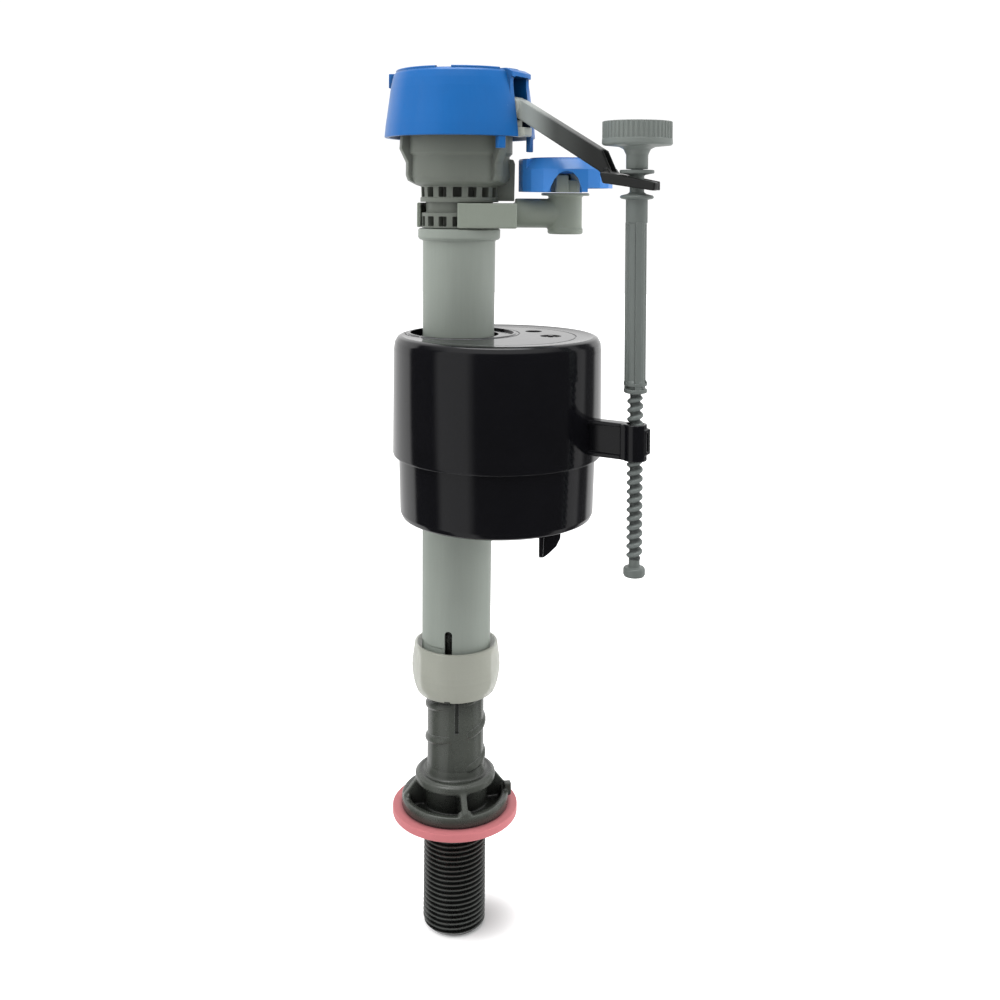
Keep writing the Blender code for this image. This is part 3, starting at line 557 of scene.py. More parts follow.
# ------------------------------------------------------------------- lock ring
ring = lathe("ring", [(13.6, 46.9), (14.4, 46.9, 0.3), (15.0, 47.5, 0.5), (15.75, 49.4, 1.2), (15.95, 50.0), (16.35, 51.6, 2.0),
                      (16.85, 54.4, 2.0), (17.0, 56.8, 3.0), (16.75, 59.6, 3.0), (16.35, 62.6, 3.0),
                      (16.0, 65.2, 0.3), (15.5, 65.5, 0.25), (14.9, 65.5, 0.25), (14.2, 61.5, 0.5), (13.6, 60.8)], 128)
cut(ring, rbox("ring_notch", (12.0, -1.25, 45.0), (19.0, 1.25, 47.75), 0.3, turn=-71.0))
piece(ring, "lock_ring_moulded", RING, "lock_ring_body", "lock_ring", slot="ring_plastic", angle=40)

# -------------------------------------------------------- outer tube and inner
tube = lathe("tube", [(12.2, 225.0), (15.4, 225.0, 0.3), (15.9, 224.5, 0.25), (15.9, 221.6, 0.5),
                      (15.3, 220.8, 0.6), (14.25, 220.5, 0.4), (14.0, 219.8, 0.5), (13.2, 68.0), (13.2, 47.3, 0.25),
                      (12.2, 47.3)], 128)
slots = []
for k, az in enumerate((-71.0, 109.0)):
    slots.append(rplate(f"slot{k}", [(-1.45, 40.0), (1.45, 40.0), (1.45, 73.3, 1.44), (-1.45, 73.3, 1.44)],
                        9.0, 17.0, 0.0, turn=az - 90.0, steps=10))
# relief where the collet's fingers sit back from the lock ring
relief_path = []
for i in range(25):
    relief_path.append((-79.0 - 62.0 * i / 24,))
slots.append(swept("relief", relief_path, lambda a: [polar(r, a, z) for r, z in (
    (12.75, 60.0), (13.6, 60.0), (13.6, 66.6), (13.2, 66.9), (12.75, 66.5))]))
cut(tube, *slots)
piece(tube, "outer_tube_drawn", TUBE, "riser", "outer_tube", slot="tube_plastic", angle=40)

supply = lathe("supply", [(6.0, 240.7), (7.8, 240.7, 0.2), (7.8, 49.0, 0.4), (7.3, 48.0, 0.2), (6.0, 48.0)], 64)
piece(supply, "supply_pipe", BODY, "riser", "supply_tube", slot="tube_plastic", angle=40)

# ------------------------------------------------------------------ valve body
cup = lathe("cup", [
    (18.4, 262.0), (20.4, 262.0, 0.2), (20.45, 253.9, 0.25), (19.35, 252.7, 0.25), (19.5, 244.8, 1.6),
    (18.6, 242.6, 1.6), (16.6, 241.6, 1.0), (14.95, 241.1, 0.4), (14.75, 237.1, 0.2), (15.15, 236.8, 0.2),
    (15.15, 235.2, 0.2), (13.0, 235.2, 0.3), (12.9, 231.2, 0.2), (14.6, 231.1, 0.25), (14.5, 225.3),
    (11.9, 225.3), (11.9, 216.0), (10.3, 216.0), (10.3, 225.0), (11.0, 226.0), (11.0, 243.0),
    (9.8, 243.0), (9.8, 234.0), (8.1, 234.0), (8.1, 241.0), (5.5, 241.0), (5.5, 260.6),
    (6.6, 260.6, 0.3), (7.2, 259.6, 0.3), (8.2, 246.2, 0.5), (17.6, 246.2, 0.6), (18.4, 247.0, 0.4)], 160)
extras = []
for k, az in enumerate((-133.0, -13.0, 107.0)):
    extras.append(rplate(f"bayonet{k}", [
        (18.6, 261.6), (23.2, 261.6, 0.4), (23.5, 255.4, 0.5), (20.95, 250.2, 0.8), (20.95, 245.4, 0.6),
        (20.2, 243.4, 0.8), (18.2, 242.3, 0.5), (17.2, 243.4), (18.6, 246.0)], -2.2, 2.2, 0.45, turn=az))
extras.append(rplate("pillar", [
    (14.0, 235.7), (21.1, 235.7, 0.3), (21.3, 250.0, 0.8), (20.7, 251.7, 0.8), (18.9, 251.9),
    (18.9, 243.6), (17.4, 243.0), (14.6, 241.4), (13.4, 240.4), (13.4, 236.2)], -3.2, 3.2, 0.5, turn=33.0))
holes = []
for row, (low, high) in enumerate(((237.15, 240.95), (225.95, 229.75))):
    for k in range(16):
        holes.append(rbox(f"w{row}_{k}", (10.4, -1.7, low), (16.6, 1.7, high), 0.35,
                          turn=360.0 * (k + 0.27) / 16))
for k in range(8):
    holes.append(rbox(f"f{k}", (9.9, -1.6, 242.0), (13.6, 1.6, 247.0), 0.2, turn=45.0 * k + 20.0))
holes.append(rod("port", 1.9, polar(10.2, 33.0, 233.1), polar(14.5, 33.0, 233.1), 24))
cut(cup, *holes)
add(cup, *extras)
piece(cup, "valve_body_moulded", BODY, "riser", "valve_body", slot="tube_plastic", angle=38)

# ------------------------------------------------- refill elbow, nozzle, dial
AZ = 33.0
SPIGOT = polar(41.2, AZ)
clip = lathe("clip", [(14.95, 234.9), (16.4, 234.9, 0.3), (16.4, 225.4, 0.3), (14.95, 225.4)], 160)
add(clip, rplate("clip_block", [(-1.0, 225.4), (21.3, 225.4, 0.4), (21.3, 234.9, 0.4), (-1.0, 234.9)],
                 -16.3, 9.0, 0.35, turn=AZ))
cut(clip, rod("clip_bore", 14.95, (0, 0, 220), (0, 0, 240), 160),
    rbox("clip_mouth", (-21.4, -21.4, 215.0), (-1.0, -1.0, 245.0), 0.0, turn=AZ))
add(clip, rod("elbow_pipe", 5.7, polar(17.5, AZ, 231.1), polar(41.2, AZ, 231.1), 64))
cut(clip, rbox("pillar_room", (10.0, -6.5, 234.9), (21.65, 6.5, 242.0), 0.0, turn=AZ))
spigot = lathe("spigot", [(0, 239.0), (9.4, 239.0, 0.3), (9.4, 237.95, 0.3), (6.5, 237.9, 0.6), (6.5, 225.6, 0.3),
                          (6.85, 225.0, 0.3), (6.85, 223.5, 0.5), (6.3, 223.05, 0.3), (0, 223.05)], 96, at=SPIGOT[:2])
add(clip, spigot)
cut(clip, rod("elbow_bore", 3.6, polar(14.0, AZ, 231.1), polar(41.2, AZ, 231.1), 32),
    rod("spigot_bore", 3.6, polar(41.2, AZ, 227.5), polar(41.2, AZ, 242.0), 32))
moulded(clip, 0.32, 3)
piece(clip, "refill_elbow_moulded", ELBOW, "riser", "refill_elbow", slot="tube_plastic", angle=None)

nozzle = lathe("nozzle", [(3.4, 239.3), (5.6, 239.3), (5.6, 246.5, 0.4), (2.0, 246.5, 0.2), (2.0, 245.2), (3.4, 244.6)],
               64, at=SPIGOT[:2])
NOZZLE = (SPIGOT[0], SPIGOT[1], 0)
add(nozzle, rbox("nozzle_block", (3.8, -4.2, 239.3), (12.3, 0.5, 245.8), 0.4, turn=-60.0, at=NOZZLE),
    rbox("nozzle_back", (3.8, -4.2, 239.3), (9.4, 4.4, 243.9), 0.4, turn=-60.0, at=NOZZLE))
cut(nozzle, rod("nozzle_bore", 1.1, Vector(SPIGOT) + Vector(polar(2.0, -52.0, 245.0)),
                Vector(SPIGOT) + Vector(polar(14.0, -52.0, 245.0)), 32))
piece(nozzle, "refill_nozzle_moulded", ELBOW, "riser", "refill_nozzle", slot="tube_plastic", angle=40)

# The dial's skirt is a twenty-sided prism, so it is turned with twenty steps. Its
# shoulder is cut away in flats over the front and the right only; the top is round.
dial = lathe("dial", [(2.4, 252.0), (18.0, 252.0, 0.4), (18.4, 251.4, 0.4), (18.4, 239.3, 0.2),
                      (16.6, 239.3, 0.2), (16.6, 247.2, 0.3), (14.2, 249.8, 0.5), (2.4, 249.8)], 20,
             at=SPIGOT[:2], start=-54.0)
flats = [(-118.0,)] + [(-108.0 + 18.0 * k,) for k in range(11)]
cut(dial, swept("shoulder", flats, lambda a: [
    (SPIGOT[0] + r * math.cos(math.radians(a)), SPIGOT[1] + r * math.sin(math.radians(a)), z)
    for r, z in ((15.25, 252.2), (15.25, 253.5), (20.5, 253.5), (20.5, 247.4), (18.4, 248.0))]))
add(dial, lathe("dial_top", [(2.4, 250.5), (14.0, 250.5), (14.0, 252.5, 0.25), (2.4, 252.5, 0.2)], 96, at=SPIGOT[:2]))
arch = rplate("arch", [(-8.0, 236.0), (5.9, 236.0), (5.0, 241.0, 2.0), (3.8, 244.6, 2.0), (1.8, 246.7, 2.0),
                       (-0.7, 247.3, 2.0), (-3.2, 246.4, 2.0), (-5.2, 244.0, 2.0), (-6.6, 240.8, 2.0)],
              -26.0, -9.0, 0.0, turn=30.0, at=(SPIGOT[0], SPIGOT[1], 0), steps=4)
cut(dial, arch, rbox("relief", (7.5, -24.0, 236.0), (24.0, 24.0, 240.9), 0.0, turn=30.0,
                     at=(SPIGOT[0], SPIGOT[1], 0)),
    rbox("notch", (-0.9, -15.2, 251.9), (0.9, -12.6, 254.0), 0.0, turn=36.0, at=(SPIGOT[0], SPIGOT[1], 0)))
piece(dial, "refill_dial_moulded", DIAL, "dial", "refill_dial", slot="blue_plastic", angle=15)

# -------------------------------------------------------------------- the cap
CHEEK = [(17.5, 266.9), (22.9, 266.9), (22.9, 262.4), (26.4, 262.4, 0.3), (26.4, 284.2), (17.5, 284.2)]
cap = lathe("cap", [
    (0, 285.0), (23.2, 285.0), (24.6, 285.0, 0.4), (25.7, 284.0, 0.9), (26.35, 281.4, 2.0), (26.95, 278.2, 2.0), (27.55, 273.4, 2.0),
    (28.15, 268.8, 2.0), (28.75, 264.5, 0.6), (29.15, 260.1, 0.3), (28.95, 259.8, 0.1), (27.4, 259.8, 0.2),
    (26.5, 267.4, 2.0), (25.8, 272.6, 2.0), (24.8, 281.0, 1.0), (24.2, 283.4, 0.5), (0, 283.4)], 192)
lips = []
for first, sweep in ((-172.0, 92.0), (-66.0, 44.0), (-10.0, 14.0), (28.0, 66.0), (106.0, 62.0)):
    path = [(first + sweep * i / 32,) for i in range(33)]
    lips.append(swept(f"lip{int(first)}", path, lambda a: [polar(r, a, z) for r, z in (
        (22.9, 284.6), (24.9, 284.6), (24.95, 285.35), (24.7, 285.58), (23.3, 285.58), (22.95, 285.3))]))
add(cap, *lips)
add(cap, rplate("cheek_near", CHEEK, -7.2, -4.5, 0.2), rplate("cheek_far", CHEEK, 4.5, 7.2, 0.2),
    rplate("roof", [(19.0, 282.0), (27.3, 282.0, 0.3), (27.3, 284.0, 0.5), (24.6, 285.4, 0.5), (19.0, 285.4)],
           -7.2, 7.2, 0.25))
cut(cap, rbox("mouth", (16.0, -5.0, 250.0), (40.0, 5.0, 282.4), 0.0))
add(cap, rbox("near_tab", (26.6, -1.65, 255.3), (28.7, 1.65, 262.4), 0.3, turn=-25.3),
    rbox("far_tab", (26.2, 5.4, 254.4), (28.0, 8.2, 264.0), 0.3),
    rbox("grip_fin", (24.9, -2.0, 279.4), (28.2, 2.0, 285.0), 0.3, turn=-160.0),
    rbox("rear_fin", (24.9, -2.0, 279.4), (28.2, 2.0, 285.0), 0.3, turn=110.0))
cut(cap, rod("pin_hole", 1.35, (25.0, -9.0, 271.0), (25.0, 9.0, 271.0), 32))
piece(cap, "cap_moulded", CAP, "cap_assembly", "cap", slot="blue_plastic", angle=38)

plate = lathe("plate", [(0.95, 266.5), (22.8, 266.5, 0.3), (22.8, 264.1, 0.3), (0.95, 264.1)], 96)
add(plate, rplate("tongue", [(20.0, 266.4), (26.0, 266.4, 0.5), (26.0, 263.4, 0.3), (30.2, 263.4, 0.4), (30.2, 260.6, 0.4),
                             (29.6, 260.0, 0.4), (24.0, 260.0, 0.4), (24.0, 264.3), (20.0, 264.3)], -3.0, 3.0, 0.35))
cut(plate, rod("pilot_hole", 0.7, (19.0, 0, 262.0), (19.0, 0, 268.0), 24))
piece(plate, "pilot_plate_moulded", PALE, "cap_assembly", "pilot_plate", slot="tube_plastic", angle=40)

pin = rod("pin", 1.04, (25.0, -7.6, 271.0), (25.0, 7.6, 271.0), 40, ease=0.2)
piece(pin, "lever_pin_turned", STEEL, "cap_assembly", "lever_pin", slot="pin_steel", angle=40)

# ------------------------------------------------------------------- the lever
bar = rplate("bar", [
    (17.4, 272.4, 0.6), (22.4, 274.9, 1.2), (26.0, 274.8, 1.0), (29.0, 273.45, 1.0), (62.0, 254.2, 0.8),
    (65.7, 246.3, 0.6), (66.4, 243.0), (63.7, 242.7, 0.8), (60.7, 246.7, 1.2), (30.2, 264.9, 1.0),
    (27.2, 266.5, 1.0), (23.6, 269.4, 0.8), (17.4, 269.4, 0.5)], -3.0, 3.0, 0.45)
add(bar, rod("hub", 3.4, (25.0, -4.5, 271.0), (25.0, 4.5, 271.0), 64, ease=0.3),
    rplate("fork", [(61.9, 246.5, 0.6), (65.8, 246.1, 0.8), (83.5, 242.7, 0.6), (83.05, 239.7, 0.6),
                    (66.4, 242.0, 0.8), (63.2, 242.4, 0.6)], -5.5, 5.5, 0.4),
    rplate("gusset", [(63.0, 247.6), (64.6, 247.9), (66.5, 245.2), (64.0, 244.5)], -4.2, 4.2, 0.3))
cut(bar, rplate("fork_slot", [(70.8, 0)] + [(70.8, 300.0)] + [(77.8, 300.0), (77.8, 0)], -2.95, 2.95, 0.0),
    rbox("fork_throat", (76.0, -2.2, 230.0), (90.0, 2.2, 250.0), 0.0),
    rplate("end_web", [(60.4, 252.4, 0.4), (61.6, 256.6), (65.5, 255.0), (69.0, 246.7), (66.3, 246.35), (63.7, 246.5, 0.4)],
           -1.95, 1.95, 0.0),
    rbox("far_tine_end", (81.0, 0.0, 230.0), (90.0, 9.0, 250.0), 0.0),
    rod("lever_pin_bore", 1.2, (25.0, -9.0, 271.0), (25.0, 9.0, 271.0), 40))
moulded(bar, 0.24, 2)
piece(bar, "lever_moulded", LEVER, "lever_arm", "lever", slot="lever_plastic", angle=None)

# -------------------------------------------------------------- rod and knob
RX = 74.3
ROD_PITCH = 3.22


def rod_radius(phase, z):
    wave = 0.5 + 0.5 * math.cos(2 * math.pi * phase)
    wave = wave * wave * (3 - 2 * wave)
    fade = min(max((167.4 - z) / 1.4, 0.0), 1.0) * min(max((z - 108.5) / 1.6, 0.0), 1.0)
    return 1.80 + 1.08 * (wave * fade + 0.10 * (1 - fade))


screw = grid_tube("screw", 108.4, 168.0, rod_radius, ROD_PITCH, 12, 56, 0)
screw.data.transform(Matrix.Translation((RX * MM, 0, 0)))
piece(screw, "rod_thread", SCREW, "rod", "adjusting_rod", slot="rod_plastic", angle=60)

shaft = lathe("shaft", [
    (0, 257.8), (2.2, 257.8, 0.3), (2.2, 247.2, 0.2), (6.15, 247.2, 0.3), (6.15, 246.0, 0.3), (4.4, 245.7, 0.5), (2.6, 245.3, 0.5),
    (2.6, 239.3, 0.5), (3.4, 238.7, 0.4), (5.6, 238.15, 0.5), (6.2, 237.5, 0.4), (5.6, 236.95, 0.4), (3.9, 236.6, 0.3),
    (3.9, 228.6, 0.1), (3.6, 228.2, 0.1), (3.6, 172.6, 0.1), (4.15, 171.9, 0.3), (4.15, 170.7, 0.3), (2.9, 170.4, 0.1), (2.9, 169.7, 0.1), (4.15, 169.4, 0.2),
    (4.15, 168.2, 0.4), (2.3, 167.6, 0.3), (0, 167.6)], 64, at=(RX, 0))
flutes = []
for k in range(6):
    flutes.append(rbox(f"flute{k}", (3.3, -0.85, 171.6), (5.0, 0.85, 228.0), 0.25, turn=60.0 * k - 30.0 + 30.0, at=(RX, 0, 0)))
strips = []
for k in range(3):
    strips.append(rbox(f"strip{k}", (2.6, -1.15, 169.3), (3.88, 1.15, 228.6), 0.25, turn=120.0 * k - 60.0 + 8.0, at=(RX, 0, 0)))
cut(shaft, *[f for i, f in enumerate(flutes)])
add(shaft, *strips)
piece(shaft, "rod_shaft", ROD, "rod", slot="rod_plastic", angle=35)
foot = lathe("rod_foot", [(0, 109.0), (2.0, 109.0, 0.2), (2.0, 106.2, 0.3), (3.6, 106.1, 0.5), (3.9, 105.4, 0.5),
                          (3.9, 103.6, 0.5), (3.5, 102.9, 0.3), (0, 102.9)], 64, at=(RX, 0))
piece(foot, "rod_end_disc", ROD, "rod", slot="rod_plastic", angle=35)

knob = lathe("knob", [
    (0, 263.0), (10.2, 263.0, 0.4), (10.6, 264.3, 0.3), (11.9, 264.4, 0.2), (12.15, 264.2, 0.15), (12.15, 258.35, 0.1), (12.5, 258.2, 0.15),
    (12.6, 256.5, 0.4), (12.1, 255.95, 0.5), (6.6, 255.4, 0.8), (4.9, 254.6, 1.2), (3.95, 252.6, 1.6),
    (3.9, 247.5, 0.2), (2.5, 247.5), (2.5, 258.2), (0, 258.2)], 128, at=(RX, 0))
knurl = []
for k in range(45):
    knurl.append(rbox(f"knurl{k}", (11.2, -0.48, 257.9), (12.44, 0.48, 264.38), 0.24, turn=8.0 * k + 4.0,
                      at=(RX, 0, 0), segs=2))
# the ribs are joined in five rounds, to keep each boolean small
for part_ in range(5):
    add(knob, *knurl[part_ * 9:(part_ + 1) * 9])
piece(knob, "knob_knurled", KNOB, "knob", "adjusting_knob", slot="rod_plastic", angle=35)

# ------------------------------------------------------------------- the float
FX, SX, SR = 17.6, 1.6, 20.0
upper = lathe("upper", [
    (0, 184.6), (34.6, 184.6), (36.4, 185.0, 1.2), (37.9, 184.5, 1.4), (39.0, 182.6, 2.0), (39.35, 180.0, 2.0), (39.4, 141.2),
    (39.15, 140.35, 0.35), (37.5, 140.3, 0.2), (37.5, 181.0, 2.0), (35.2, 183.2, 1.0), (0, 183.2)], 256, at=(FX, 0))
add(upper, lathe("sleeve_up", [(19.0, 147.2), (21.2, 147.2), (21.2, 184.9, 0.4), (19.0, 184.9)], 128, at=(SX, 0)))
pegs = [lathe("groove_a", [(21.9, 184.2), (22.5, 184.2), (22.5, 186), (21.9, 186)], 128, at=(SX, 0)),
        lathe("groove_b", [(29.4, 184.25), (30.0, 184.25), (30.0, 186), (29.4, 186)], 160, at=(FX, 0)),
        lathe("dimple_a", [(0, 183.6), (3.0, 183.6, 0.3), (3.9, 186), (0, 186)], 64, at=(22.4, 19.8)),
        lathe("dimple_b", [(0, 184.15), (3.9, 184.15, 0.3), (5.0, 186), (0, 186)], 64, at=(35.2, 9.7)),
        lathe("sleeve_bore", [(0, 130.0), (20.0, 130.0), (20.0, 190.0), (0, 190.0)], 160, at=(SX, 0))]
for peg in pegs:
    cut(upper, peg)
piece(upper, "float_cup_upper", FLOAT, "float", "float_upper_cup", slot="float_plastic", angle=35)
lip = lathe("lip", [(0, 181.6), (20.6, 181.6), (20.6, 184.2, 0.2), (0, 184.2)], 128, at=(SX, 0))
cut(lip, lathe("lip_bore_a", [(0, 180.0), (14.95, 180.0), (14.95, 186.0), (0, 186.0)], 128, at=(0.7, 0)))
cut(lip, lathe("lip_bore_b", [(0, 180.0), (14.95, 180.0), (14.95, 186.0), (0, 186.0)], 128, at=(-4.2, 0)))
cut(lip, rbox("lip_bore_c", (-4.2, -14.94, 180.0), (0.7, 14.94, 186.0), 0.0))
piece(lip, "float_sleeve_lip", FLOAT, "float", slot="float_plastic", angle=40)
nub = lathe("nub", [(0, 184.9), (0.9, 184.9, 0.3), (1.0, 183.6), (0, 183.6)], 32, at=(35.2, 9.7))
piece(nub, "float_dimple_peg", FLOAT, "float", slot="float_plastic", angle=35)

arm = rbox("arm_web", (55.6, -1.1, 144.4), (71.6, 1.1, 156.6), 0.3)
add(arm, rbox("arm_top", (55.6, -2.6, 155.6), (71.8, 2.6, 156.95), 0.4),
    rbox("arm_bottom", (55.6, -2.6, 144.05), (71.8, 2.6, 145.5), 0.4),
    lathe("nut", [(3.05, 144.0), (4.25, 144.0, 0.3), (4.25, 157.0, 0.3), (3.05, 157.0)], 64, at=(RX, 0)),
    rbox("nut_finger", (RX + 2.6, -1.6, 146.2), (RX + 4.9, 2.6, 155.4), 0.4),
    rbox("nut_cheek", (69.8, -3.6, 144.2), (72.4, 3.6, 156.8), 0.5))
cut(arm, rod("nut_bore", 3.05, (RX, 0, 140.0), (RX, 0, 160.0), 64),
    rbox("nut_gap", (RX + 3.9, -1.0, 147.4), (RX + 6.0, 0.6, 154.2), 0.0))
moulded(arm, 0.22, 3)
piece(arm, "float_clip_arm", FLOAT, "float", slot="float_plastic", angle=None)

lower = lathe("lower", [
    (0, 119.0), (34.4, 119.0), (35.3, 140.0), (35.5, 146.6), (37.1, 146.6), (37.1, 139.9), (36.45, 119.2, 1.0),
    (35.8, 117.5, 1.1), (33.9, 116.6, 0.8), (0, 116.6)], 256, at=(FX, 0))
add(lower, lathe("sleeve_low", [(19.0, 117.4), (20.9, 117.4), (20.9, 146.8), (19.0, 146.8)], 128, at=(SX, 0)))
cut(lower, lathe("low_bore", [(0, 110.0), (20.0, 110.0), (20.0, 150.0), (0, 150.0)], 160, at=(SX, 0)))
piece(lower, "float_cup_lower", FLOAT, "float", "float_lower_cup", slot="float_plastic", angle=35)
fin = rplate("fin", [(0.0, 118.0), (8.0, 118.0), (7.8, 114.4, 1.5), (6.3, 111.4, 1.5), (3.5, 108.7, 1.2),
                     (1.7, 107.35, 0.5), (0.0, 107.35, 0.3)], -0.9, 0.9, 0.3, turn=30.0, at=(42.0, -11.5, 0))
add(fin, rplate("fin_rib", [(0.0, 118.0), (2.0, 118.0), (1.5, 107.8, 0.3), (0.0, 107.8, 0.3)], -1.8, 0.4, 0.3,
                turn=30.0, at=(42.0, -11.5, 0)))
piece(fin, "float_fin", FLOAT, "float", slot="float_plastic", angle=40)

# ------------------------------------------------------- CAD nodes kept as made
for name, mat in (("flow_restrictor", BODY), ("riser_seal", SEAL), ("diaphragm", SEAL),
                  ("diaphragm_core", BODY), ("metering_pin", STEEL), ("pilot_seal", SEAL)):
    node_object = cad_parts[name]
    node_object.data.materials.clear()
    node_object.data.materials.append(mat)


# ------------------------------------------------------- floor, light, camera
def stage_floor():
    bm = bmesh.new()
    size, z = 3.0, -42.9 * MM
    rings = []
    for r in (0.02, 0.05, 0.1, 0.3, 1.0, size):
        rings.append([bm.verts.new((r * math.cos(a), r * math.sin(a), z))
                      for a in (2 * math.pi * i / 64 for i in range(64))])
    bm.faces.new(rings[0])
    for a, b in zip(rings, rings[1:]):
        for i in range(64):
            bm.faces.new((a[i], b[i], b[(i + 1) % 64], a[(i + 1) % 64]))
    floor = obj_from("studio_floor", bm)
    mat = bpy.data.materials.new("floor_white")
    mat.use_nodes = True
    nodes, links = mat.node_tree.nodes, mat.node_tree.links
    bsdf = nodes["Principled BSDF"]
    bsdf.inputs["Base Color"].default_value = (0.82, 0.82, 0.82, 1)
    bsdf.inputs["Roughness"].default_value = 0.9
    bsdf.inputs["Specular IOR Level"].default_value = 0.0
    # a painted soft contact shadow beside the foot of the shank
    coords = nodes.new("ShaderNodeTexCoord")
    mapping = nodes.new("ShaderNodeMapping")
    mapping.vector_type = "TEXTURE"
    mapping.inputs["Location"].default_value = (0.0065, 0.0055, z)
    mapping.inputs["Scale"].default_value = (0.017, 0.017, 1.0)
    links.new(coords.outputs["Object"], mapping.inputs["Vector"])
    length = nodes.new("ShaderNodeVectorMath")
    length.operation = "LENGTH"
    flat = nodes.new("ShaderNodeVectorMath")
    flat.operation = "MULTIPLY"
    flat.inputs[1].default_value = (1, 1, 0)
    links.new(mapping.outputs["Vector"], flat.inputs[0])
    links.new(flat.outputs["Vector"], length.inputs[0])
    ramp = nodes.new("ShaderNodeMapRange")
    ramp.interpolation_type = "SMOOTHSTEP"
    ramp.inputs["From Min"].default_value = 0.20
    ramp.inputs["From Max"].default_value = 1.95
    ramp.inputs["To Min"].default_value = 0.0
    ramp.inputs["To Max"].default_value = 1.0
    links.new(length.outputs["Value"], ramp.inputs["Value"])
    path = nodes.new("ShaderNodeLightPath")
    seen = nodes.new("ShaderNodeMath")
    seen.operation = "MULTIPLY"
    links.new(path.outputs["Is Camera Ray"], seen.inputs[0])
    seen.inputs[1].default_value = 0.75
    glow = nodes.new("ShaderNodeMath")
    glow.operation = "MULTIPLY"
    links.new(seen.outputs[0], glow.inputs[0])
    links.new(ramp.outputs["Result"], glow.inputs[1])
    dim = nodes.new("ShaderNodeMapRange")
    dim.inputs["To Min"].default_value = 0.66
    dim.inputs["To Max"].default_value = 0.84
    links.new(ramp.outputs["Result"], dim.inputs["Value"])
    links.new(dim.outputs["Result"], bsdf.inputs["Base Color"])
    bsdf.inputs["Emission Color"].default_value = (1, 1, 1, 1)
    links.new(glow.outputs[0], bsdf.inputs["Emission Strength"])
    floor.data.materials.append(mat)
    floor.visible_glossy = False
    floor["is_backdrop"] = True


stage_floor()

scene.view_settings.view_transform = "Standard"
scene.view_settings.look = "None"
scene.view_settings.exposure = 0.0
scene.view_settings.gamma = 1.0

world = bpy.data.worlds.new("studio")
scene.world = world
world.use_nodes = True
nodes, links = world.node_tree.nodes, world.node_tree.links
nodes.clear()
coords = nodes.new("ShaderNodeTexCoord")
split = nodes.new("ShaderNodeSeparateXYZ")
links.new(coords.outputs["Generated"], split.inputs[0])
heading = nodes.new("ShaderNodeMath")
heading.operation = "ARCTAN2"
links.new(split.outputs["Y"], heading.inputs[0])
links.new(split.outputs["X"], heading.inputs[1])
around = nodes.new("ShaderNodeMapRange")
around.inputs["From Min"].default_value = -math.pi
around.inputs["From Max"].default_value = math.pi
links.new(heading.outputs[0], around.inputs["Value"])


def sky(stops, ceiling, low, high, crown):
    """Brightness round the horizon by azimuth, blending into a ceiling overhead."""
    ramp = nodes.new("ShaderNodeValToRGB")
    elements = ramp.color_ramp.elements
    while len(elements) < len(stops):
        elements.new(0.5)
    for element, (azimuth, value) in zip(elements, stops):
        element.position = (azimuth + 180.0) / 360.0
        element.color = (value, value, value, 1)
    links.new(around.outputs["Result"], ramp.inputs["Fac"])
    rise = nodes.new("ShaderNodeMapRange")
    rise.interpolation_type = "SMOOTHSTEP"
    rise.inputs["From Min"].default_value = low
    rise.inputs["From Max"].default_value = high
    links.new(split.outputs["Z"], rise.inputs["Value"])
    blend = nodes.new("ShaderNodeMix")
    blend.data_type = "FLOAT"
    links.new(rise.outputs["Result"], blend.inputs["Factor"])
    links.new(ramp.outputs["Color"], blend.inputs["A"])
    blend.inputs["B"].default_value = ceiling
    back = nodes.new("ShaderNodeBackground")
    lamp = nodes.new("ShaderNodeMapRange")
    lamp.interpolation_type = "SMOOTHSTEP"
    lamp.inputs["From Min"].default_value = 0.88
    lamp.inputs["From Max"].default_value = 0.95
    links.new(split.outputs["Z"], lamp.inputs["Value"])
    top = nodes.new("ShaderNodeMix")
    top.data_type = "FLOAT"
    links.new(lamp.outputs["Result"], top.inputs["Factor"])
    links.new(blend.outputs["Result"], top.inputs["A"])
    top.inputs["B"].default_value = crown
    links.new(top.outputs["Result"], back.inputs["Strength"])
    back.inputs["Color"].default_value = (1, 1, 1, 1)
    return back


# What the glossy surfaces mirror: a white backdrop behind, a dim panel on each side.
mirrored = sky([(-180, 1.0), (-173, 1.0), (-168, 0.04), (-134, 0.04), (-126, 0.55), (-94, 0.55), (-84, 0.06),
                (17, 0.05), (26, 0.06), (31, 0.50), (48, 0.50), (54, 0.08), (70, 0.10), (77, 1.0), (180, 1.0)],
               0.85, 0.50, 0.80, 5.0)
# What lights the matt surfaces: the same room, evened out by its walls.
lighting = sky([(-180, 1.05), (-150, 0.95), (-115, 0.78), (-60, 0.78), (-10, 1.05), (30, 1.50), (90, 1.40),
                (130, 1.10), (180, 1.05)], 0.85, 0.35, 0.85, 0.85)
seen = nodes.new("ShaderNodeBackground")
seen.inputs["Color"].default_value = (1, 1, 1, 1)
seen.inputs["Strength"].default_value = 1.05
path = nodes.new("ShaderNodeLightPath")
first = nodes.new("ShaderNodeMixShader")
links.new(path.outputs["Is Glossy Ray"], first.inputs["Fac"])
links.new(lighting.outputs[0], first.inputs[1])
links.new(mirrored.outputs[0], first.inputs[2])
second = nodes.new("ShaderNodeMixShader")
links.new(path.outputs["Is Camera Ray"], second.inputs["Fac"])
links.new(first.outputs[0], second.inputs[1])
links.new(seen.outputs[0], second.inputs[2])
output = nodes.new("ShaderNodeOutputWorld")
links.new(second.outputs[0], output.inputs["Surface"])


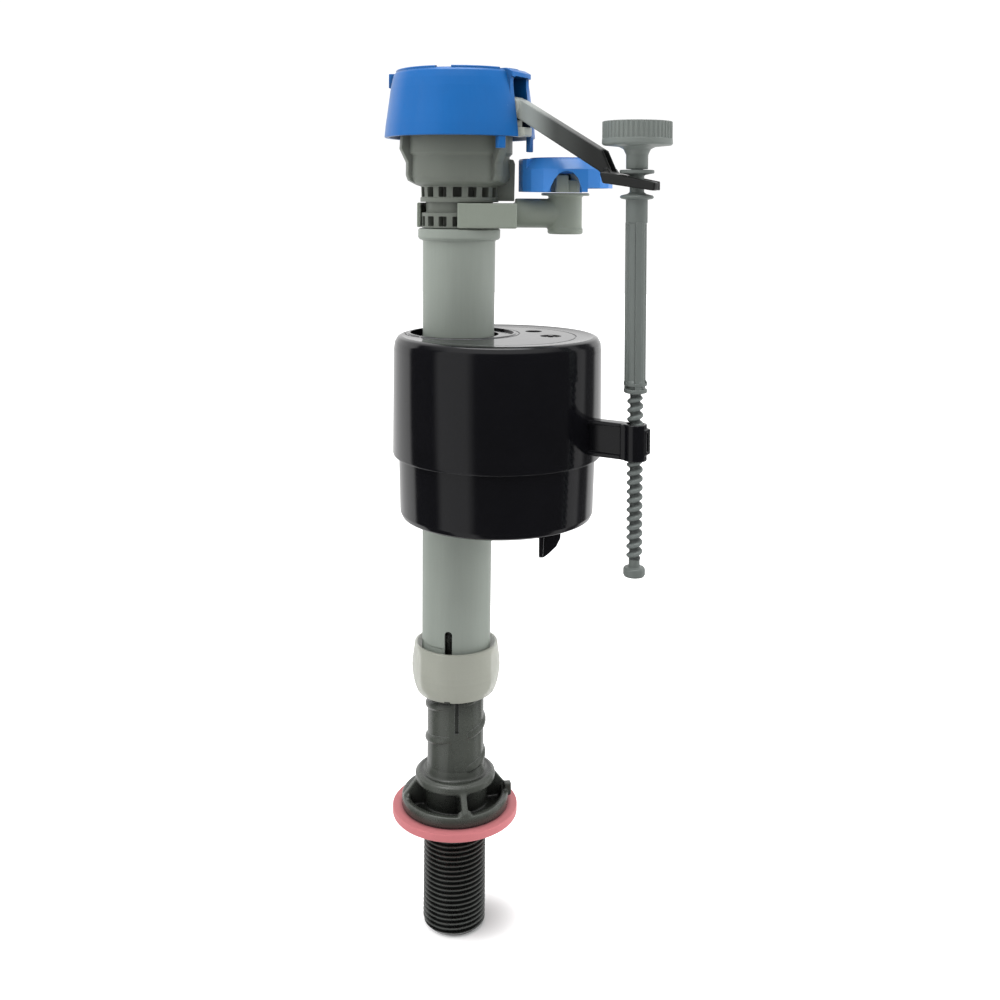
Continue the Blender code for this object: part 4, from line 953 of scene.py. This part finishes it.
def softbox(name, azimuth, distance, height, size, power, aim=(0.0, 0.0, 130.0), colour=(1, 1, 1)):
    """A rectangular lamp at an azimuth seen from above, aimed at a point (mm)."""
    data = bpy.data.lights.new(name, "AREA")
    data.shape = "RECTANGLE"
    data.size, data.size_y = size[0] * MM, size[1] * MM
    data.energy = power
    data.color = colour
    lamp = bpy.data.objects.new(name, data)
    scene.collection.objects.link(lamp)
    x, y, _ = polar(distance, azimuth)
    lamp.location = Vector((x, y, height)) * MM
    lamp.rotation_mode = "QUATERNION"
    lamp.rotation_quaternion = (Vector(aim) * MM - lamp.location).to_track_quat("-Z", "Y")
    lamp.visible_camera = False
    lamp.visible_glossy = False
    return lamp


# azimuths: the camera stands at -58; left of frame is about -150, right is about +30
softbox("overhead", -70.0, 350.0, 900.0, (600.0, 600.0), 3.6, aim=(10.0, 0.0, 150.0))
softbox("left_wall", -150.0, 800.0, 350.0, (500.0, 700.0), 3.0)
softbox("right_wall", 42.0, 600.0, 140.0, (500.0, 500.0), 2.2, aim=(0.0, 0.0, 110.0))

camera_data = bpy.data.cameras.new("photo_camera")
camera = bpy.data.objects.new("photo_camera", camera_data)
scene.collection.objects.link(camera)
scene.camera = camera
camera_data.sensor_width = 36.0
camera_data.lens = 41.4
camera_data.clip_start, camera_data.clip_end = 0.02, 50.0
look = Vector((-0.5, 0.8660254, 0.0))
camera.rotation_mode = "QUATERNION"
camera.rotation_quaternion = look.to_track_quat("-Z", "Y") @ Matrix.Rotation(math.radians(0.43), 3, "Z").to_quaternion()
camera.location = Vector((236.6, -378.4, 236.5)) * MM
mark = bpy.data.objects.new("photo_viewpoint", None)
mark.location = camera.location
scene.collection.objects.link(mark)
# the photograph's frame hangs below its level horizon; other views are centred
curve = camera_data.driver_add("shift_y")
driver = curve.driver
driver.type = "SCRIPTED"
gap = driver.variables.new()
gap.name = "gap"
gap.type = "LOC_DIFF"
gap.targets[0].id = camera
gap.targets[1].id = mark
driver.expression = "-0.301 if gap < 0.001 else 0.0"

for helper in WORK:
    bpy.data.objects.remove(helper, do_unlink=True)
low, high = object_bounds()
